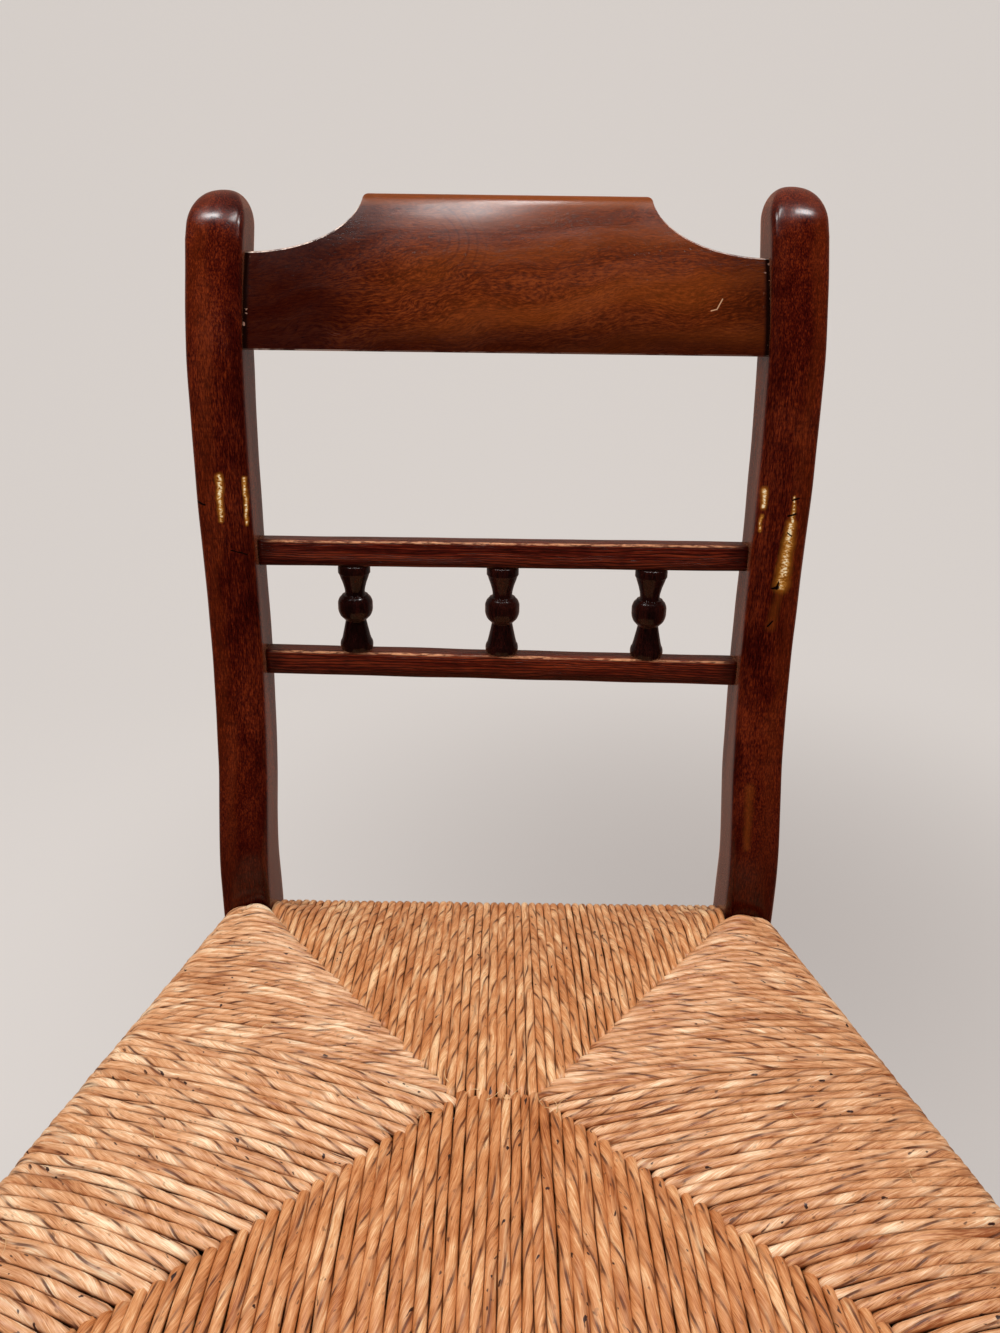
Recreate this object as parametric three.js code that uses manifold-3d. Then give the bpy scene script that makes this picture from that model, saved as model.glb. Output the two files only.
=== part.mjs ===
// A spindle back side chair with a rush seat. Millimetres, +Z up, the front faces -Y.
// Left and right are as seen from the front. Heights are measured from the seat datum,
// the level at which the rear posts' front faces leave the seat, until the last line
// stands the chair on the floor.
import * as THREE from "three";
import { mergeVertices } from "three/addons/utils/BufferGeometryUtils.js";
import Module from "manifold-3d";

const wasm = await Module();
wasm.setup();

// Clearance between two pieces that touch on the real chair, and how far a cut overruns.
const fit_gap = 0.3;
const cut_overrun = 2;

// Overall sizes.
const seat_height = 440;
const back_width = 350;
const seat_depth = 340;
const side_splay_share = 0.215;
const seat_rise_share = 0.044;

// Rear posts: one piece of wood from the floor to the domed top.
const post_height = 403;
const post_width = 30;
const post_depth = 40;
const post_lean = 72;
const leg_sweep = 58;
const post_arris_radius = 4;
const post_dome = 19;
// The posts' outer faces lean out towards the top, and one top stands above the other.
const post_flare = 1.6;
const left_top_wear = 1.2;
const right_top_rise = 4.3;
// The dome stops short of its pole, and its sides stay fuller than a circle's.
const dome_stop_share = 0.92;
const dome_fullness_share = 0.8;
// Each row: height as a share of the post above the datum or of the leg below it, then
// how far back the front face lies as a share of the lean or the sweep, then the depth
// as a share of the post's depth and the width as a share of its width.
const post_line_shares = [
  [0.194, 0.293, 0.93, 1],
  [0.387, 0.451, 0.84, 1],
  [0.578, 0.471, 0.82, 1],
  [0.772, 0.565, 0.84, 1],
  [1, 1, 0.87, 1],
];
const rear_leg_line_shares = [
  [1, 1, 0.7, 0.86],
  [0.72, 0.47, 0.8, 0.92],
  [0.42, 0.12, 0.92, 0.98],
  [0.145, 0, 1, 1],
];

// Crest rail: a board that leans back more and more and ends in a rolled top edge.
const crest_bottom = 319;
const crest_rise = 78.5;
const crest_lean = 42.6;
const crest_thickness = 19.4;
const crest_setback = 3.3;
const crest_bend_share = 0.22;
const crest_top_half = 81;
const crest_cove_height = 33;
const crest_tenon_height = 34;
const crest_tenon_thickness = 9;
const crest_tenon_length = 16;
const crest_tenon_foot = 7;

// The two thin back rails and the three turned spindles between them.
const upper_rail_height = 204.3;
const lower_rail_height = 133.6;
// How far the lower rail falls from its left end to its right end.
const lower_rail_fall = 3.9;
const back_rail_height = 15.7;
const back_rail_depth = 13;
const back_rail_arris_radius = 1.6;
const back_rail_tenon_share = 0.62;
const back_rail_tenon_length = 16;
const spindle_spacing = 89.4;
const spindle_radius = 10.5;
const spindle_tenon_radius = 4;
const spindle_tenon_length = 6;
// Radius as a share of the ball's radius, height as a share of the length between rails.
const spindle_shares = [
  [0.86, 0], [0.94, 0.02], [0.96, 0.06], [0.93, 0.1], [0.87, 0.12], [0.74, 0.22],
  [0.62, 0.33], [0.6, 0.352], [0.68, 0.37], [0.9, 0.42], [1, 0.49], [1, 0.56],
  [0.91, 0.615], [0.77, 0.645], [0.74, 0.655], [0.58, 0.66], [0.57, 0.69], [0.66, 0.78],
  [0.8, 0.86], [0.87, 0.9], [0.92, 0.915], [0.92, 0.97], [0.88, 1],
];

// Front legs: turned, with a plain domed head that the rush is wrapped up to.
const leg_radius = 18;
const leg_head = 12;
const leg_shares = [
  [0.55, 0], [0.62, 0.01], [0.72, 0.045], [0.66, 0.085], [0.56, 0.1], [0.75, 0.11],
  [0.75, 0.128], [0.6, 0.14], [0.66, 0.17], [0.8, 0.24], [0.88, 0.34], [0.9, 0.5],
  [0.9, 0.63], [0.72, 0.65], [0.98, 0.662], [0.98, 0.682], [0.74, 0.695], [0.8, 0.715],
  [0.97, 0.77], [1, 0.8], [1, 0.978], [0.92, 0.988], [0.66, 0.996], [0.3, 1],
];

// Seat rails: round bars hidden in the rush. The front and back ones lie lower, so that
// the two tenons in each post pass one above the other.
const rail_radius = 12;
const side_rail_drop = 29;
const rail_step = 15;
const side_rail_inset = 3;
const seat_tenon_radius = 6.5;
const seat_tenon_length = 22;
const leg_tenon_length = 15;

// Rush seat: strands wound over the rails in four crowned panels that meet in seams.
const strand = 5;
const seam_meeting = 160;
const bridge_half = 20;
const seam_centre_drop = 6;
const back_corner_drop = 19;
const front_corner_drop = 3;
const seam_thickness = 23;
const seam_dip = 4;
const seam_overlap = 1.2;
const panel_crown = 5;
const panel_belly = 3;
const side_meeting = 138;
const panel_step = 40;
const panel_top_shares = [0.94, 0.75, 0.5, 0.25];
const panel_under_shares = [0.3, 0.65, 0.94];
const pad_margin = 8;
const pad_end = 34;
const pad_shares = [0, 0.33, 0.67, 1];

// Stretchers between the legs.
const stretcher_tenon_radius = 6;
const stretcher_radius = 9.5;
const front_upper_stretcher = 270;
const front_lower_stretcher = 165;
const side_upper_stretcher = 245;
const side_lower_stretcher = 140;
const rear_stretcher_height = 205;
const plain_stretcher_shares = [[0.74, 0.12], [0.92, 0.3], [1, 0.5], [0.92, 0.7], [0.74, 0.88]];
const turned_stretcher_shares = [
  [0.7, 0.08], [0.86, 0.2], [0.9, 0.3], [0.68, 0.33], [1.05, 0.345], [1.05, 0.365],
  [0.7, 0.38], [0.95, 0.42], [1.15, 0.5], [0.95, 0.58], [0.7, 0.62], [1.05, 0.635],
  [1.05, 0.655], [0.68, 0.67], [0.9, 0.7], [0.86, 0.8], [0.7, 0.92],
];

// Facet counts.
const round_sides = 16;
const leg_sides = 20;
const stretcher_sides = 12;
const spindle_sides = 14;
const post_rings = 26;
const dome_rings = 4;
const arris_points = 3;
const curve_steps = 9;
const roll_steps = 6;

const up = new THREE.Vector3(0, 0, 1);
const at = (x, y, z) => new THREE.Vector3(x, y, z);
const between = (a, b, share) => a.clone().lerp(b, share);
const mix = THREE.MathUtils.lerp;

// The closed solid of a geometry: shared points are merged, triangles that a pole has
// flattened are dropped, and the faces are turned outwards.
function solidOf(geometry) {
  const bare = geometry.clone();
  bare.deleteAttribute("normal");
  bare.deleteAttribute("uv");
  const merged = mergeVertices(bare);
  const points = merged.getAttribute("position");
  const all = merged.index.array;
  const corners = [];
  let volume = 0;
  const [a, b, c] = [at(0, 0, 0), at(0, 0, 0), at(0, 0, 0)];
  for (let i = 0; i < all.length; i += 3) {
    const [p, q, r] = [all[i], all[i + 1], all[i + 2]];
    if (p === q || q === r || r === p) continue;
    corners.push(p, q, r);
    a.fromBufferAttribute(points, p);
    b.fromBufferAttribute(points, q);
    c.fromBufferAttribute(points, r);
    volume += a.dot(b.cross(c));
  }
  if (volume < 0) corners.reverse();
  return new wasm.Manifold(
    new wasm.Mesh({
      numProp: 3,
      vertProperties: new Float32Array(points.array),
      triVerts: new Uint32Array(corners),
    }),
  );
}

const unite = (first, ...rest) => rest.reduce((whole, next) => whole.add(next), first);
const cutAway = (body, ...tools) => tools.reduce((whole, tool) => whole.subtract(tool), body);

// A skin over rings of equally many points, closed by a fan at each end.
function loft(rings) {
  const count = rings[0].length;
  const position = rings.flat().flatMap((p) => [p.x, p.y, p.z]);
  const index = [];
  for (let r = 0; r + 1 < rings.length; r++)
    for (let i = 0; i < count; i++) {
      const [low, lowNext] = [r * count + i, r * count + ((i + 1) % count)];
      index.push(low, lowNext, lowNext + count, low, lowNext + count, low + count);
    }
  [0, rings.length - 1].forEach((r) => {
    const middle = at(0, 0, 0);
    rings[r].forEach((p) => middle.addScaledVector(p, 1 / count));
    const hub = position.length / 3;
    position.push(middle.x, middle.y, middle.z);
    for (let i = 0; i < count; i++) {
      const [here, next] = [r * count + i, r * count + ((i + 1) % count)];
      index.push(...(r === 0 ? [hub, next, here] : [hub, here, next]));
    }
  });
  const geometry = new THREE.BufferGeometry();
  geometry.setAttribute("position", new THREE.Float32BufferAttribute(position, 3));
  geometry.setIndex(index);
  return solidOf(geometry);
}

// A piece turned on a lathe, with its axis from one point to another. The profile lists
// radius and distance along the axis.
function turned(from, to, profile, sides) {
  const axis = to.clone().sub(from).normalize();
  const turn = new THREE.Quaternion().setFromUnitVectors(at(0, 1, 0), axis);
  const closed = [[0, profile[0][1]], ...profile, [0, profile[profile.length - 1][1]]];
  const geometry = new THREE.LatheGeometry(closed.map(([r, d]) => new THREE.Vector2(r, d)), sides);
  geometry.applyQuaternion(turn);
  geometry.translate(from.x, from.y, from.z);
  return solidOf(geometry);
}

const rod = (from, to, radius, sides = round_sides) =>
  turned(from, to, [[radius, 0], [radius, from.distanceTo(to)]], sides);

// A box that is centred on a point and tipped back about X.
function tippedBox(size, centre, tilt) {
  const geometry = new THREE.BoxGeometry(size.x, size.y, size.z);
  geometry.rotateX(tilt);
  geometry.translate(centre.x, centre.y, centre.z);
  return solidOf(geometry);
}

// A smooth curve through rising positions that never overshoots: a cubic between each
// pair of points, with a level tangent wherever the values turn or rest.
function smoothCurve(positions, values) {
  const slopes = positions.slice(1).map((p, i) => (values[i + 1] - values[i]) / (p - positions[i]));
  const tangents = positions.map((p, i) => {
    const before = slopes[Math.max(i - 1, 0)];
    const after = slopes[Math.min(i, slopes.length - 1)];
    return before * after <= 0 ? 0 : (2 * before * after) / (before + after);
  });
  return (position) => {
    let i = 0;
    while (i + 2 < positions.length && position > positions[i + 1]) i++;
    const span = positions[i + 1] - positions[i];
    const t = (position - positions[i]) / span;
    return (
      values[i] * (1 + 2 * t) * (1 - t) ** 2 +
      values[i + 1] * (3 - 2 * t) * t ** 2 +
      span * (tangents[i] * t * (1 - t) ** 2 - tangents[i + 1] * (1 - t) * t ** 2)
    );
  };
}

// The rear post's line from the floor to its top.
const post_rows = [
  ...rear_leg_line_shares.map(([h, y, d, w]) => [-h * seat_height, y * leg_sweep, d, w]),
  [0, 0, 1, 1],
  ...post_line_shares.map(([h, y, d, w]) => [h * post_height, y * post_lean, d, w]),
];
const column = (i) => post_rows.map((row) => row[i]);
const postFront = smoothCurve(column(0), column(1));
const postDepthShare = smoothCurve(column(0), column(2));
const postWidthShare = smoothCurve(column(0), column(3));
const postMiddle = (z) => postFront(z) + (postDepthShare(z) * post_depth) / 2;
const post_x = (back_width - post_width) / 2;
const inner_face = back_width / 2 - post_width;
const flareAt = (z) => (post_flare * Math.max(z, 0)) / post_height;
const top_change = { "-1": -left_top_wear, 1: right_top_rise };

// A rectangle with rounded corners, as a ring of points at one height.
function roundedRing(centre, half_width, half_depth, arris) {
  const ring = [];
  [[1, 1], [-1, 1], [-1, -1], [1, -1]].forEach(([sx, sy], quarter) => {
    for (let i = 0; i < arris_points; i++) {
      const angle = ((quarter + i / (arris_points - 1)) * Math.PI) / 2;
      const x = sx * (half_width - arris) + arris * Math.cos(angle);
      const y = sy * (half_depth - arris) + arris * Math.sin(angle);
      ring.push(at(centre.x + x, centre.y + y, centre.z));
    }
  });
  return ring;
}

function rearPost(side) {
  const ringAt = (z, share) => {
    const half_depth = (share * postDepthShare(z) * post_depth) / 2;
    const half_width = (share * (postWidthShare(z) * post_width + flareAt(z))) / 2;
    const centre = at(side * (post_x + flareAt(z) / 2), postMiddle(z), z);
    return roundedRing(centre, half_width, half_depth, share * post_arris_radius);
  };
  const dome_start = post_height + top_change[side] - post_dome;
  const rings = [];
  for (let i = 0; i <= post_rings; i++) {
    rings.push(ringAt(mix(-seat_height, dome_start, i / post_rings), 1));
  }
  for (let i = 1; i <= dome_rings; i++) {
    const angle = (i / dome_rings) * dome_stop_share * (Math.PI / 2);
    const z = dome_start + post_dome * Math.sin(angle);
    rings.push(ringAt(z, Math.cos(angle) ** dome_fullness_share));
  }
  return loft(rings);
}

// Crest rail. Its front face follows one bend; the back face lies one thickness behind
// it, square to the bend, and a half round joins the two along the top. The lower edge is
// level, and the ends are scooped to the cove shoulders.
const crest_front = new THREE.QuadraticBezierCurve(
  new THREE.Vector2(0, 0),
  new THREE.Vector2(crest_bend_share * crest_lean, crest_rise / 2),
  new THREE.Vector2(crest_lean, crest_rise),
);
const crest_y = postFront(crest_bottom) + crest_setback;
const crest_end = inner_face - fit_gap;

function crestRail() {
  const front = crest_front.getPoints(curve_steps);
  const foot = crest_front.getPoint(0);
  foot.addScaledVector(crest_front.getTangent(0), -crest_thickness);
  const backwards = (t) => {
    const tangent = crest_front.getTangent(t);
    return new THREE.Vector2(tangent.y, -tangent.x);
  };
  const behind = (p, t) => p.clone().addScaledVector(backwards(t), crest_thickness);
  const back = front.map((p, i) => behind(p, i / curve_steps));
  const tip = front[curve_steps].clone().lerp(back[curve_steps], 0.5);
  const lean = crest_front.getTangent(1).angle();
  const roll = [];
  for (let i = 1; i < roll_steps; i++) {
    const angle = lean + Math.PI / 2 - (i / roll_steps) * Math.PI;
    const reach = new THREE.Vector2(Math.cos(angle), Math.sin(angle));
    roll.push(tip.clone().addScaledVector(reach, crest_thickness / 2));
  }
  const section = new THREE.Shape([foot, ...front, ...roll, ...back.reverse(), behind(foot, 0)]);
  const board = new THREE.ExtrudeGeometry(section, { depth: 2 * crest_end, bevelEnabled: false });
  // The section's own X is the chair's Y and its Y the chair's Z.
  board.applyMatrix4(new THREE.Matrix4().makeBasis(at(0, 1, 0), up, at(1, 0, 0)));
  board.translate(-crest_end, crest_y, crest_bottom);

  const top = crest_rise + crest_thickness;
  const rim = crest_rise + crest_thickness / 4;
  const cove_width = crest_end - crest_top_half;
  const outline = new THREE.Shape();
  outline.moveTo(-crest_end - cut_overrun, 0);
  outline.lineTo(crest_end + cut_overrun, 0);
  outline.lineTo(crest_end + cut_overrun, rim - crest_cove_height);
  outline.lineTo(crest_end, rim - crest_cove_height);
  outline.absellipse(crest_end, rim, cove_width, crest_cove_height, -Math.PI / 2, -Math.PI, true);
  outline.lineTo(crest_top_half, top);
  outline.lineTo(-crest_top_half, top);
  outline.lineTo(-crest_top_half, rim);
  outline.absellipse(-crest_end, rim, cove_width, crest_cove_height, 0, -Math.PI / 2, true);
  outline.lineTo(-crest_end - cut_overrun, rim - crest_cove_height);
  const deep = crest_lean + 2 * crest_thickness;
  const block = new THREE.ExtrudeGeometry(outline, {
    depth: deep,
    bevelEnabled: false,
    curveSegments: curve_steps,
  });
  block.rotateX(Math.PI / 2);
  block.translate(0, crest_y - crest_thickness + deep, crest_bottom);
  const shaped = solidOf(board).intersect(solidOf(block));
  return unite(shaped, crestTenon(-1, 0), crestTenon(1, 0));
}

// The crest rail's flat tenon at one end, or with a clearance the mortise that takes it.
function crestTenon(side, clearance) {
  const t = (crest_tenon_height / 2 + crest_tenon_foot) / crest_rise;
  const face = crest_front.getPoint(t);
  const tangent = crest_front.getTangent(t);
  const centre = face.addScaledVector(new THREE.Vector2(tangent.y, -tangent.x), crest_thickness / 2);
  const root = crest_end - cut_overrun;
  const length = crest_tenon_length + cut_overrun + clearance;
  const size = at(
    length,
    crest_tenon_thickness + 2 * clearance,
    crest_tenon_height + 2 * clearance,
  );
  const middle = at(side * (root + length / 2), crest_y + centre.x, crest_bottom + centre.y);
  return tippedBox(size, middle, -Math.atan2(tangent.x, tangent.y));
}

// The two back rails stand square to the line between their middles, and the spindles
// run along it. The lower one also falls a little from left to right.
const lower_middle = at(0, postMiddle(lower_rail_height), lower_rail_height);
const upper_middle = at(0, postMiddle(upper_rail_height), upper_rail_height);
const back_axis = upper_middle.clone().sub(lower_middle).normalize();
const back_tilt = -Math.atan2(back_axis.y, back_axis.z);
const back_rail_half = inner_face - fit_gap;
const upper_rail = { middle: upper_middle, fall: 0, inwards: -1 };
const lower_rail = { middle: lower_middle, fall: lower_rail_fall, inwards: 1 };

// The point of a back rail's axis at a place across the chair.
const railPoint = (rail, x) => {
  const sinks = (rail.fall * x) / (2 * back_rail_half);
  return rail.middle.clone().setX(x).addScaledVector(back_axis, -sinks);
};

function backRail(rail) {
  const half = back_rail_half;
  const [w, h, r] = [back_rail_depth / 2, back_rail_height / 2, back_rail_arris_radius];
  const section = new THREE.Shape();
  section.moveTo(-w, -h + r);
  section.quadraticCurveTo(-w, -h, -w + r, -h);
  section.lineTo(w - r, -h);
  section.quadraticCurveTo(w, -h, w, -h + r);
  section.lineTo(w, h - r);
  section.quadraticCurveTo(w, h, w - r, h);
  section.lineTo(-w + r, h);
  section.quadraticCurveTo(-w, h, -w, h - r);
  const bar = new THREE.ExtrudeGeometry(section, {
    depth: 2 * half,
    bevelEnabled: false,
    curveSegments: 2,
  });
  bar.applyMatrix4(new THREE.Matrix4().makeBasis(at(0, 1, 0), up, at(1, 0, 0)));
  bar.translate(-half, 0, 0);
  bar.rotateY(Math.asin(rail.fall / (2 * half)));
  bar.rotateX(back_tilt);
  bar.translate(rail.middle.x, rail.middle.y, rail.middle.z);
  const whole = unite(solidOf(bar), backRailTenon(rail, -1, 0), backRailTenon(rail, 1, 0));
  return cutAway(whole, ...spindle_places.map((x) => spindleSocket(x, rail)));
}

// A back rail's tenon at one end, or with a clearance its mortise in the post.
function backRailTenon(rail, side, clearance) {
  const root = back_rail_half - cut_overrun;
  const length = back_rail_tenon_length + cut_overrun + clearance;
  const size = at(
    length,
    back_rail_tenon_share * back_rail_depth + 2 * clearance,
    back_rail_tenon_share * back_rail_height + 2 * clearance,
  );
  const end = railPoint(rail, side * back_rail_half);
  return tippedBox(size, end.setX(side * (root + length / 2)), back_tilt);
}

// Spindles, turned as one piece with a round tenon at each end.
const spindle_places = [-spindle_spacing, 0, spindle_spacing];
const spindle_clear = back_rail_height / 2 + fit_gap;

function spindle(x) {
  const [foot, head] = [railPoint(lower_rail, x), railPoint(upper_rail, x)];
  const spindle_length = foot.distanceTo(head) - 2 * spindle_clear;
  const start = foot.addScaledVector(back_axis, spindle_clear - spindle_tenon_length);
  const body = spindle_shares.map(([r, h]) => [
    r * spindle_radius,
    spindle_tenon_length + h * spindle_length,
  ]);
  const far = spindle_length + 2 * spindle_tenon_length;
  const profile = [
    [spindle_tenon_radius, 0],
    [spindle_tenon_radius, spindle_tenon_length],
    ...body,
    [spindle_tenon_radius, far - spindle_tenon_length],
    [spindle_tenon_radius, far],
  ];
  return turned(start, start.clone().add(back_axis), profile, spindle_sides);
}

// The socket for a spindle's tenon, in the side of a rail that faces the other rail.
function spindleSocket(x, rail) {
  const mouth = back_rail_height / 2;
  const reach = spindle_tenon_length;
  const deep = railPoint(rail, x).addScaledVector(back_axis, rail.inwards * (mouth - reach));
  const out = railPoint(rail, x).addScaledVector(back_axis, rail.inwards * (mouth + cut_overrun));
  return rod(deep, out, spindle_tenon_radius + fit_gap);
}

// Seat frame: where the rails' axes run.
const sideAxis = (side, y) =>
  at(
    side * (post_x - side_rail_inset - side_splay_share * y),
    y,
    -side_rail_drop - seat_rise_share * y,
  );
const legAxis = (side) => sideAxis(side, -seat_depth);
const back_rail_y = postMiddle(-side_rail_drop - rail_step);
const backRailEnd = (side) => at(side * inner_face, back_rail_y, -side_rail_drop - rail_step);
const frontRailAxis = (side) => legAxis(side).addScaledVector(up, -rail_step);

// A seat rail: a round bar with a thinner round tenon at each end. The two ends are given
// where the axis meets the wood that takes them.
function roundRail(from, to, from_shoulder, to_shoulder, from_tenon, to_tenon) {
  const axis = to.clone().sub(from).normalize();
  const start = from.clone().addScaledVector(axis, -from_tenon);
  const length = from.distanceTo(to);
  return turned(start, to, [
    [seat_tenon_radius, 0],
    [seat_tenon_radius, from_tenon + from_shoulder],
    [rail_radius, from_tenon + from_shoulder],
    [rail_radius, from_tenon + length - to_shoulder],
    [seat_tenon_radius, from_tenon + length - to_shoulder],
    [seat_tenon_radius, from_tenon + length + to_tenon],
  ], round_sides);
}

// The hole for a round tenon: it starts outside the wood and ends one gap past the tenon.
function socket(mouth, inwards, depth, radius, sides = round_sides) {
  const out = mouth.clone().addScaledVector(inwards, -rail_radius);
  const deep = mouth.clone().addScaledVector(inwards, depth + fit_gap);
  return rod(out, deep, radius + fit_gap, sides);
}

// Where a straight axis between two points meets the front leg's surface at its far end.
function legMouth(from, leg) {
  const away = from.clone().sub(leg).setZ(0).normalize();
  const run = from.clone().sub(leg);
  return leg.clone().addScaledVector(run, leg_radius / Math.abs(run.dot(away)));
}

const side_mouths = (side) => {
  const back = sideAxis(side, 0);
  return [back, legMouth(back, legAxis(side))];
};
const front_mouths = [-1, 1].map((side) => legMouth(frontRailAxis(-side), frontRailAxis(side)));
const direction = (from, to) => to.clone().sub(from).normalize();
// A side rail's ends are square to it, so they stand off the post and leg that it meets aslant.
const leg_shoulder = rail_radius * seat_rise_share + fit_gap;
const post_shoulder = rail_radius * side_splay_share + leg_shoulder;

const sideRail = (side) => {
  const [back, front] = side_mouths(side);
  return roundRail(back, front, post_shoulder, leg_shoulder, seat_tenon_length, leg_tenon_length);
};
const backSeatRail = () =>
  roundRail(backRailEnd(-1), backRailEnd(1), fit_gap, fit_gap, seat_tenon_length, seat_tenon_length);
const frontSeatRail = () =>
  roundRail(front_mouths[0], front_mouths[1], fit_gap, fit_gap, leg_tenon_length, leg_tenon_length);

// Rush seat. A panel's strands run from points on one rail's axis to points on the seams.
// Each seam knot pairs a share of the rail with the seam point that its strand meets.
const roll_radius = rail_radius + strand;
const seamCorner = (side) => at(side * (inner_face - fit_gap), -fit_gap, -back_corner_drop);
const apex = (side) => at(side * bridge_half, -seam_meeting, -seam_centre_drop);
const frontSeamEnd = (side) => legAxis(side).setZ(-front_corner_drop);

const bridgeShare = (half) => (half - bridge_half) / (2 * half);
const acrossKnots = (half, corner) => [
  [0, corner(-1)],
  [bridgeShare(half), apex(-1)],
  [1 - bridgeShare(half), apex(1)],
  [1, corner(1)],
];
const sidePanel = (side) => ({
  from: sideAxis(side, -fit_gap),
  to: legAxis(side),
  knots: [[0, seamCorner(side)], [side_meeting / seat_depth, apex(side)], [1, frontSeamEnd(side)]],
  trim: [0, leg_radius / 4],
});
const backPanel = () => ({
  from: backRailEnd(-1).addScaledVector(at(1, 0, 0), fit_gap),
  to: backRailEnd(1).addScaledVector(at(1, 0, 0), -fit_gap),
  knots: acrossKnots(inner_face, seamCorner),
  trim: [0, 0],
});
const frontPanel = () => ({
  from: frontRailAxis(-1),
  to: frontRailAxis(1),
  knots: acrossKnots(legAxis(1).x, frontSeamEnd),
  trim: [leg_radius / 4, leg_radius / 4],
});

// The rail point and the seam point of the strand at a share of a panel's rail.
function strandEnds(panel, share) {
  let i = 0;
  while (i + 2 < panel.knots.length && share > panel.knots[i + 1][0]) i++;
  const [[s0, q0], [s1, q1]] = [panel.knots[i], panel.knots[i + 1]];
  const rail = between(panel.from, panel.to, share);
  const seam = between(q0, q1, (share - s0) / (s1 - s0));
  const inwards = seam.clone().sub(rail).setZ(0);
  return { rail, seam, inwards: inwards.clone().normalize(), reach: inwards.length() };
}

// Shares of the rail at which the panel's shape is worked out, each seam knot among them.
function panelShares(panel, ends) {
  const length = panel.from.distanceTo(panel.to);
  const [first, last] = [ends[0] / length, 1 - ends[1] / length];
  const stops = [first, ...panel.knots.map(([s]) => s).filter((s) => s > first && s < last), last];
  return stops.flatMap((stop, i) => {
    if (i === 0) return [stop];
    const steps = Math.max(1, Math.round(((stop - stops[i - 1]) * length) / panel_step));
    return Array.from({ length: steps }, (_, k) => mix(stops[i - 1], stop, (k + 1) / steps));
  });
}

// Heights of the rush's top and underside along one strand, from the rail to the seam.
const topHeight = (ends, t) =>
  mix(ends.rail.z + roll_radius, ends.seam.z, t) + panel_crown * Math.sin(Math.PI * t);
const underHeight = (ends, t) =>
  mix(ends.rail.z - roll_radius, ends.seam.z - seam_thickness, t) - panel_belly * Math.sin(Math.PI * t);

// One panel: each strand's section goes from the seam over the rail and back below it.
function rushPanel(panel) {
  return loft(
    panelShares(panel, panel.trim).map((share) => {
      const ends = strandEnds(panel, share);
      const past = 1 + seam_overlap / ends.reach;
      const place = (t, z) =>
        ends.rail.clone().addScaledVector(ends.inwards, t * ends.reach).setZ(z);
      const ring = [place(past, ends.seam.z - seam_dip)];
      panel_top_shares.forEach((t) => ring.push(place(t, topHeight(ends, t))));
      for (let i = 0; i <= roll_steps; i++) {
        const angle = Math.PI / 2 - (i / roll_steps) * Math.PI;
        const out = ends.inwards.clone().multiplyScalar(-roll_radius * Math.cos(angle));
        ring.push(ends.rail.clone().add(out).addScaledVector(up, roll_radius * Math.sin(angle)));
      }
      panel_under_shares.forEach((t) => ring.push(place(t, underHeight(ends, t))));
      ring.push(place(past, ends.seam.z - seam_thickness + seam_dip));
      return ring;
    }),
  );
}

// The stuffing in a panel's pocket, between the rail and the seam and between the two
// layers of strands. With a clearance it is the pocket, which opens into the rail's way.
function stuffing(panel, clearance) {
  const layer = strand + fit_gap - clearance;
  const shares = panelShares(panel, [pad_end, pad_end]);
  const longer = clearance / panel.from.distanceTo(panel.to);
  shares[0] -= longer;
  shares[shares.length - 1] += longer;
  return loft(
    shares.map((share) => {
      const ends = strandEnds(panel, share);
      const near = rail_radius + fit_gap;
      const far = Math.max(ends.reach - pad_margin, near + pad_margin);
      const places = pad_shares.map((s) => mix(near, far, s));
      places[places.length - 1] += clearance;
      if (clearance > 0) places.unshift(0);
      const row = (height, turn) =>
        places.map((place) => {
          const z = height(ends, place / ends.reach) + turn * layer;
          return ends.rail.clone().addScaledVector(ends.inwards, place).setZ(z);
        });
      return [...row(topHeight, -1), ...row(underHeight, 1).reverse()];
    }),
  );
}

const panels = {
  front: frontPanel(),
  back: backPanel(),
  left: sidePanel(-1),
  right: sidePanel(1),
};

function rushSeat() {
  const shell = unite(...Object.values(panels).map(rushPanel));
  const tunnel = (from, to) => {
    const axis = direction(from, to);
    const start = from.clone().addScaledVector(axis, -rail_radius);
    return rod(start, to.clone().addScaledVector(axis, rail_radius), rail_radius + fit_gap);
  };
  const legs = [-1, 1].map((side) => {
    const foot = legAxis(side).addScaledVector(up, -seat_depth / 2);
    return rod(foot, legAxis(side).addScaledVector(up, seat_depth / 2), leg_radius + fit_gap, leg_sides);
  });
  return cutAway(
    shell,
    tunnel(...side_mouths(-1)),
    tunnel(...side_mouths(1)),
    tunnel(backRailEnd(-1), backRailEnd(1)),
    tunnel(...front_mouths),
    ...Object.values(panels).map((panel) => stuffing(panel, fit_gap)),
    ...legs,
  );
}

// Stretchers: round in section, thickest towards the middle, with ends that go straight
// into the legs. Heights are given above the floor.
const legPoint = (side, height) => legAxis(side).setZ(height - seat_height);
const rearPoint = (side, height) =>
  at(side * post_x, postFront(height - seat_height), height - seat_height);
const rearInside = (side, height) =>
  at(side * inner_face, postMiddle(height - seat_height), height - seat_height);

function stretcher(from, to, shares) {
  const axis = direction(from, to);
  const start = from.clone().addScaledVector(axis, -leg_tenon_length);
  const length = from.distanceTo(to);
  const plain = leg_tenon_length + stretcher_tenon_radius;
  const body = shares.map(([r, d]) => [r * stretcher_radius, leg_tenon_length + d * length]);
  return turned(start, to, [
    [stretcher_tenon_radius, 0],
    [stretcher_tenon_radius, plain],
    ...body,
    [stretcher_tenon_radius, length + 2 * leg_tenon_length - plain],
    [stretcher_tenon_radius, length + 2 * leg_tenon_length],
  ], stretcher_sides);
}

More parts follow.
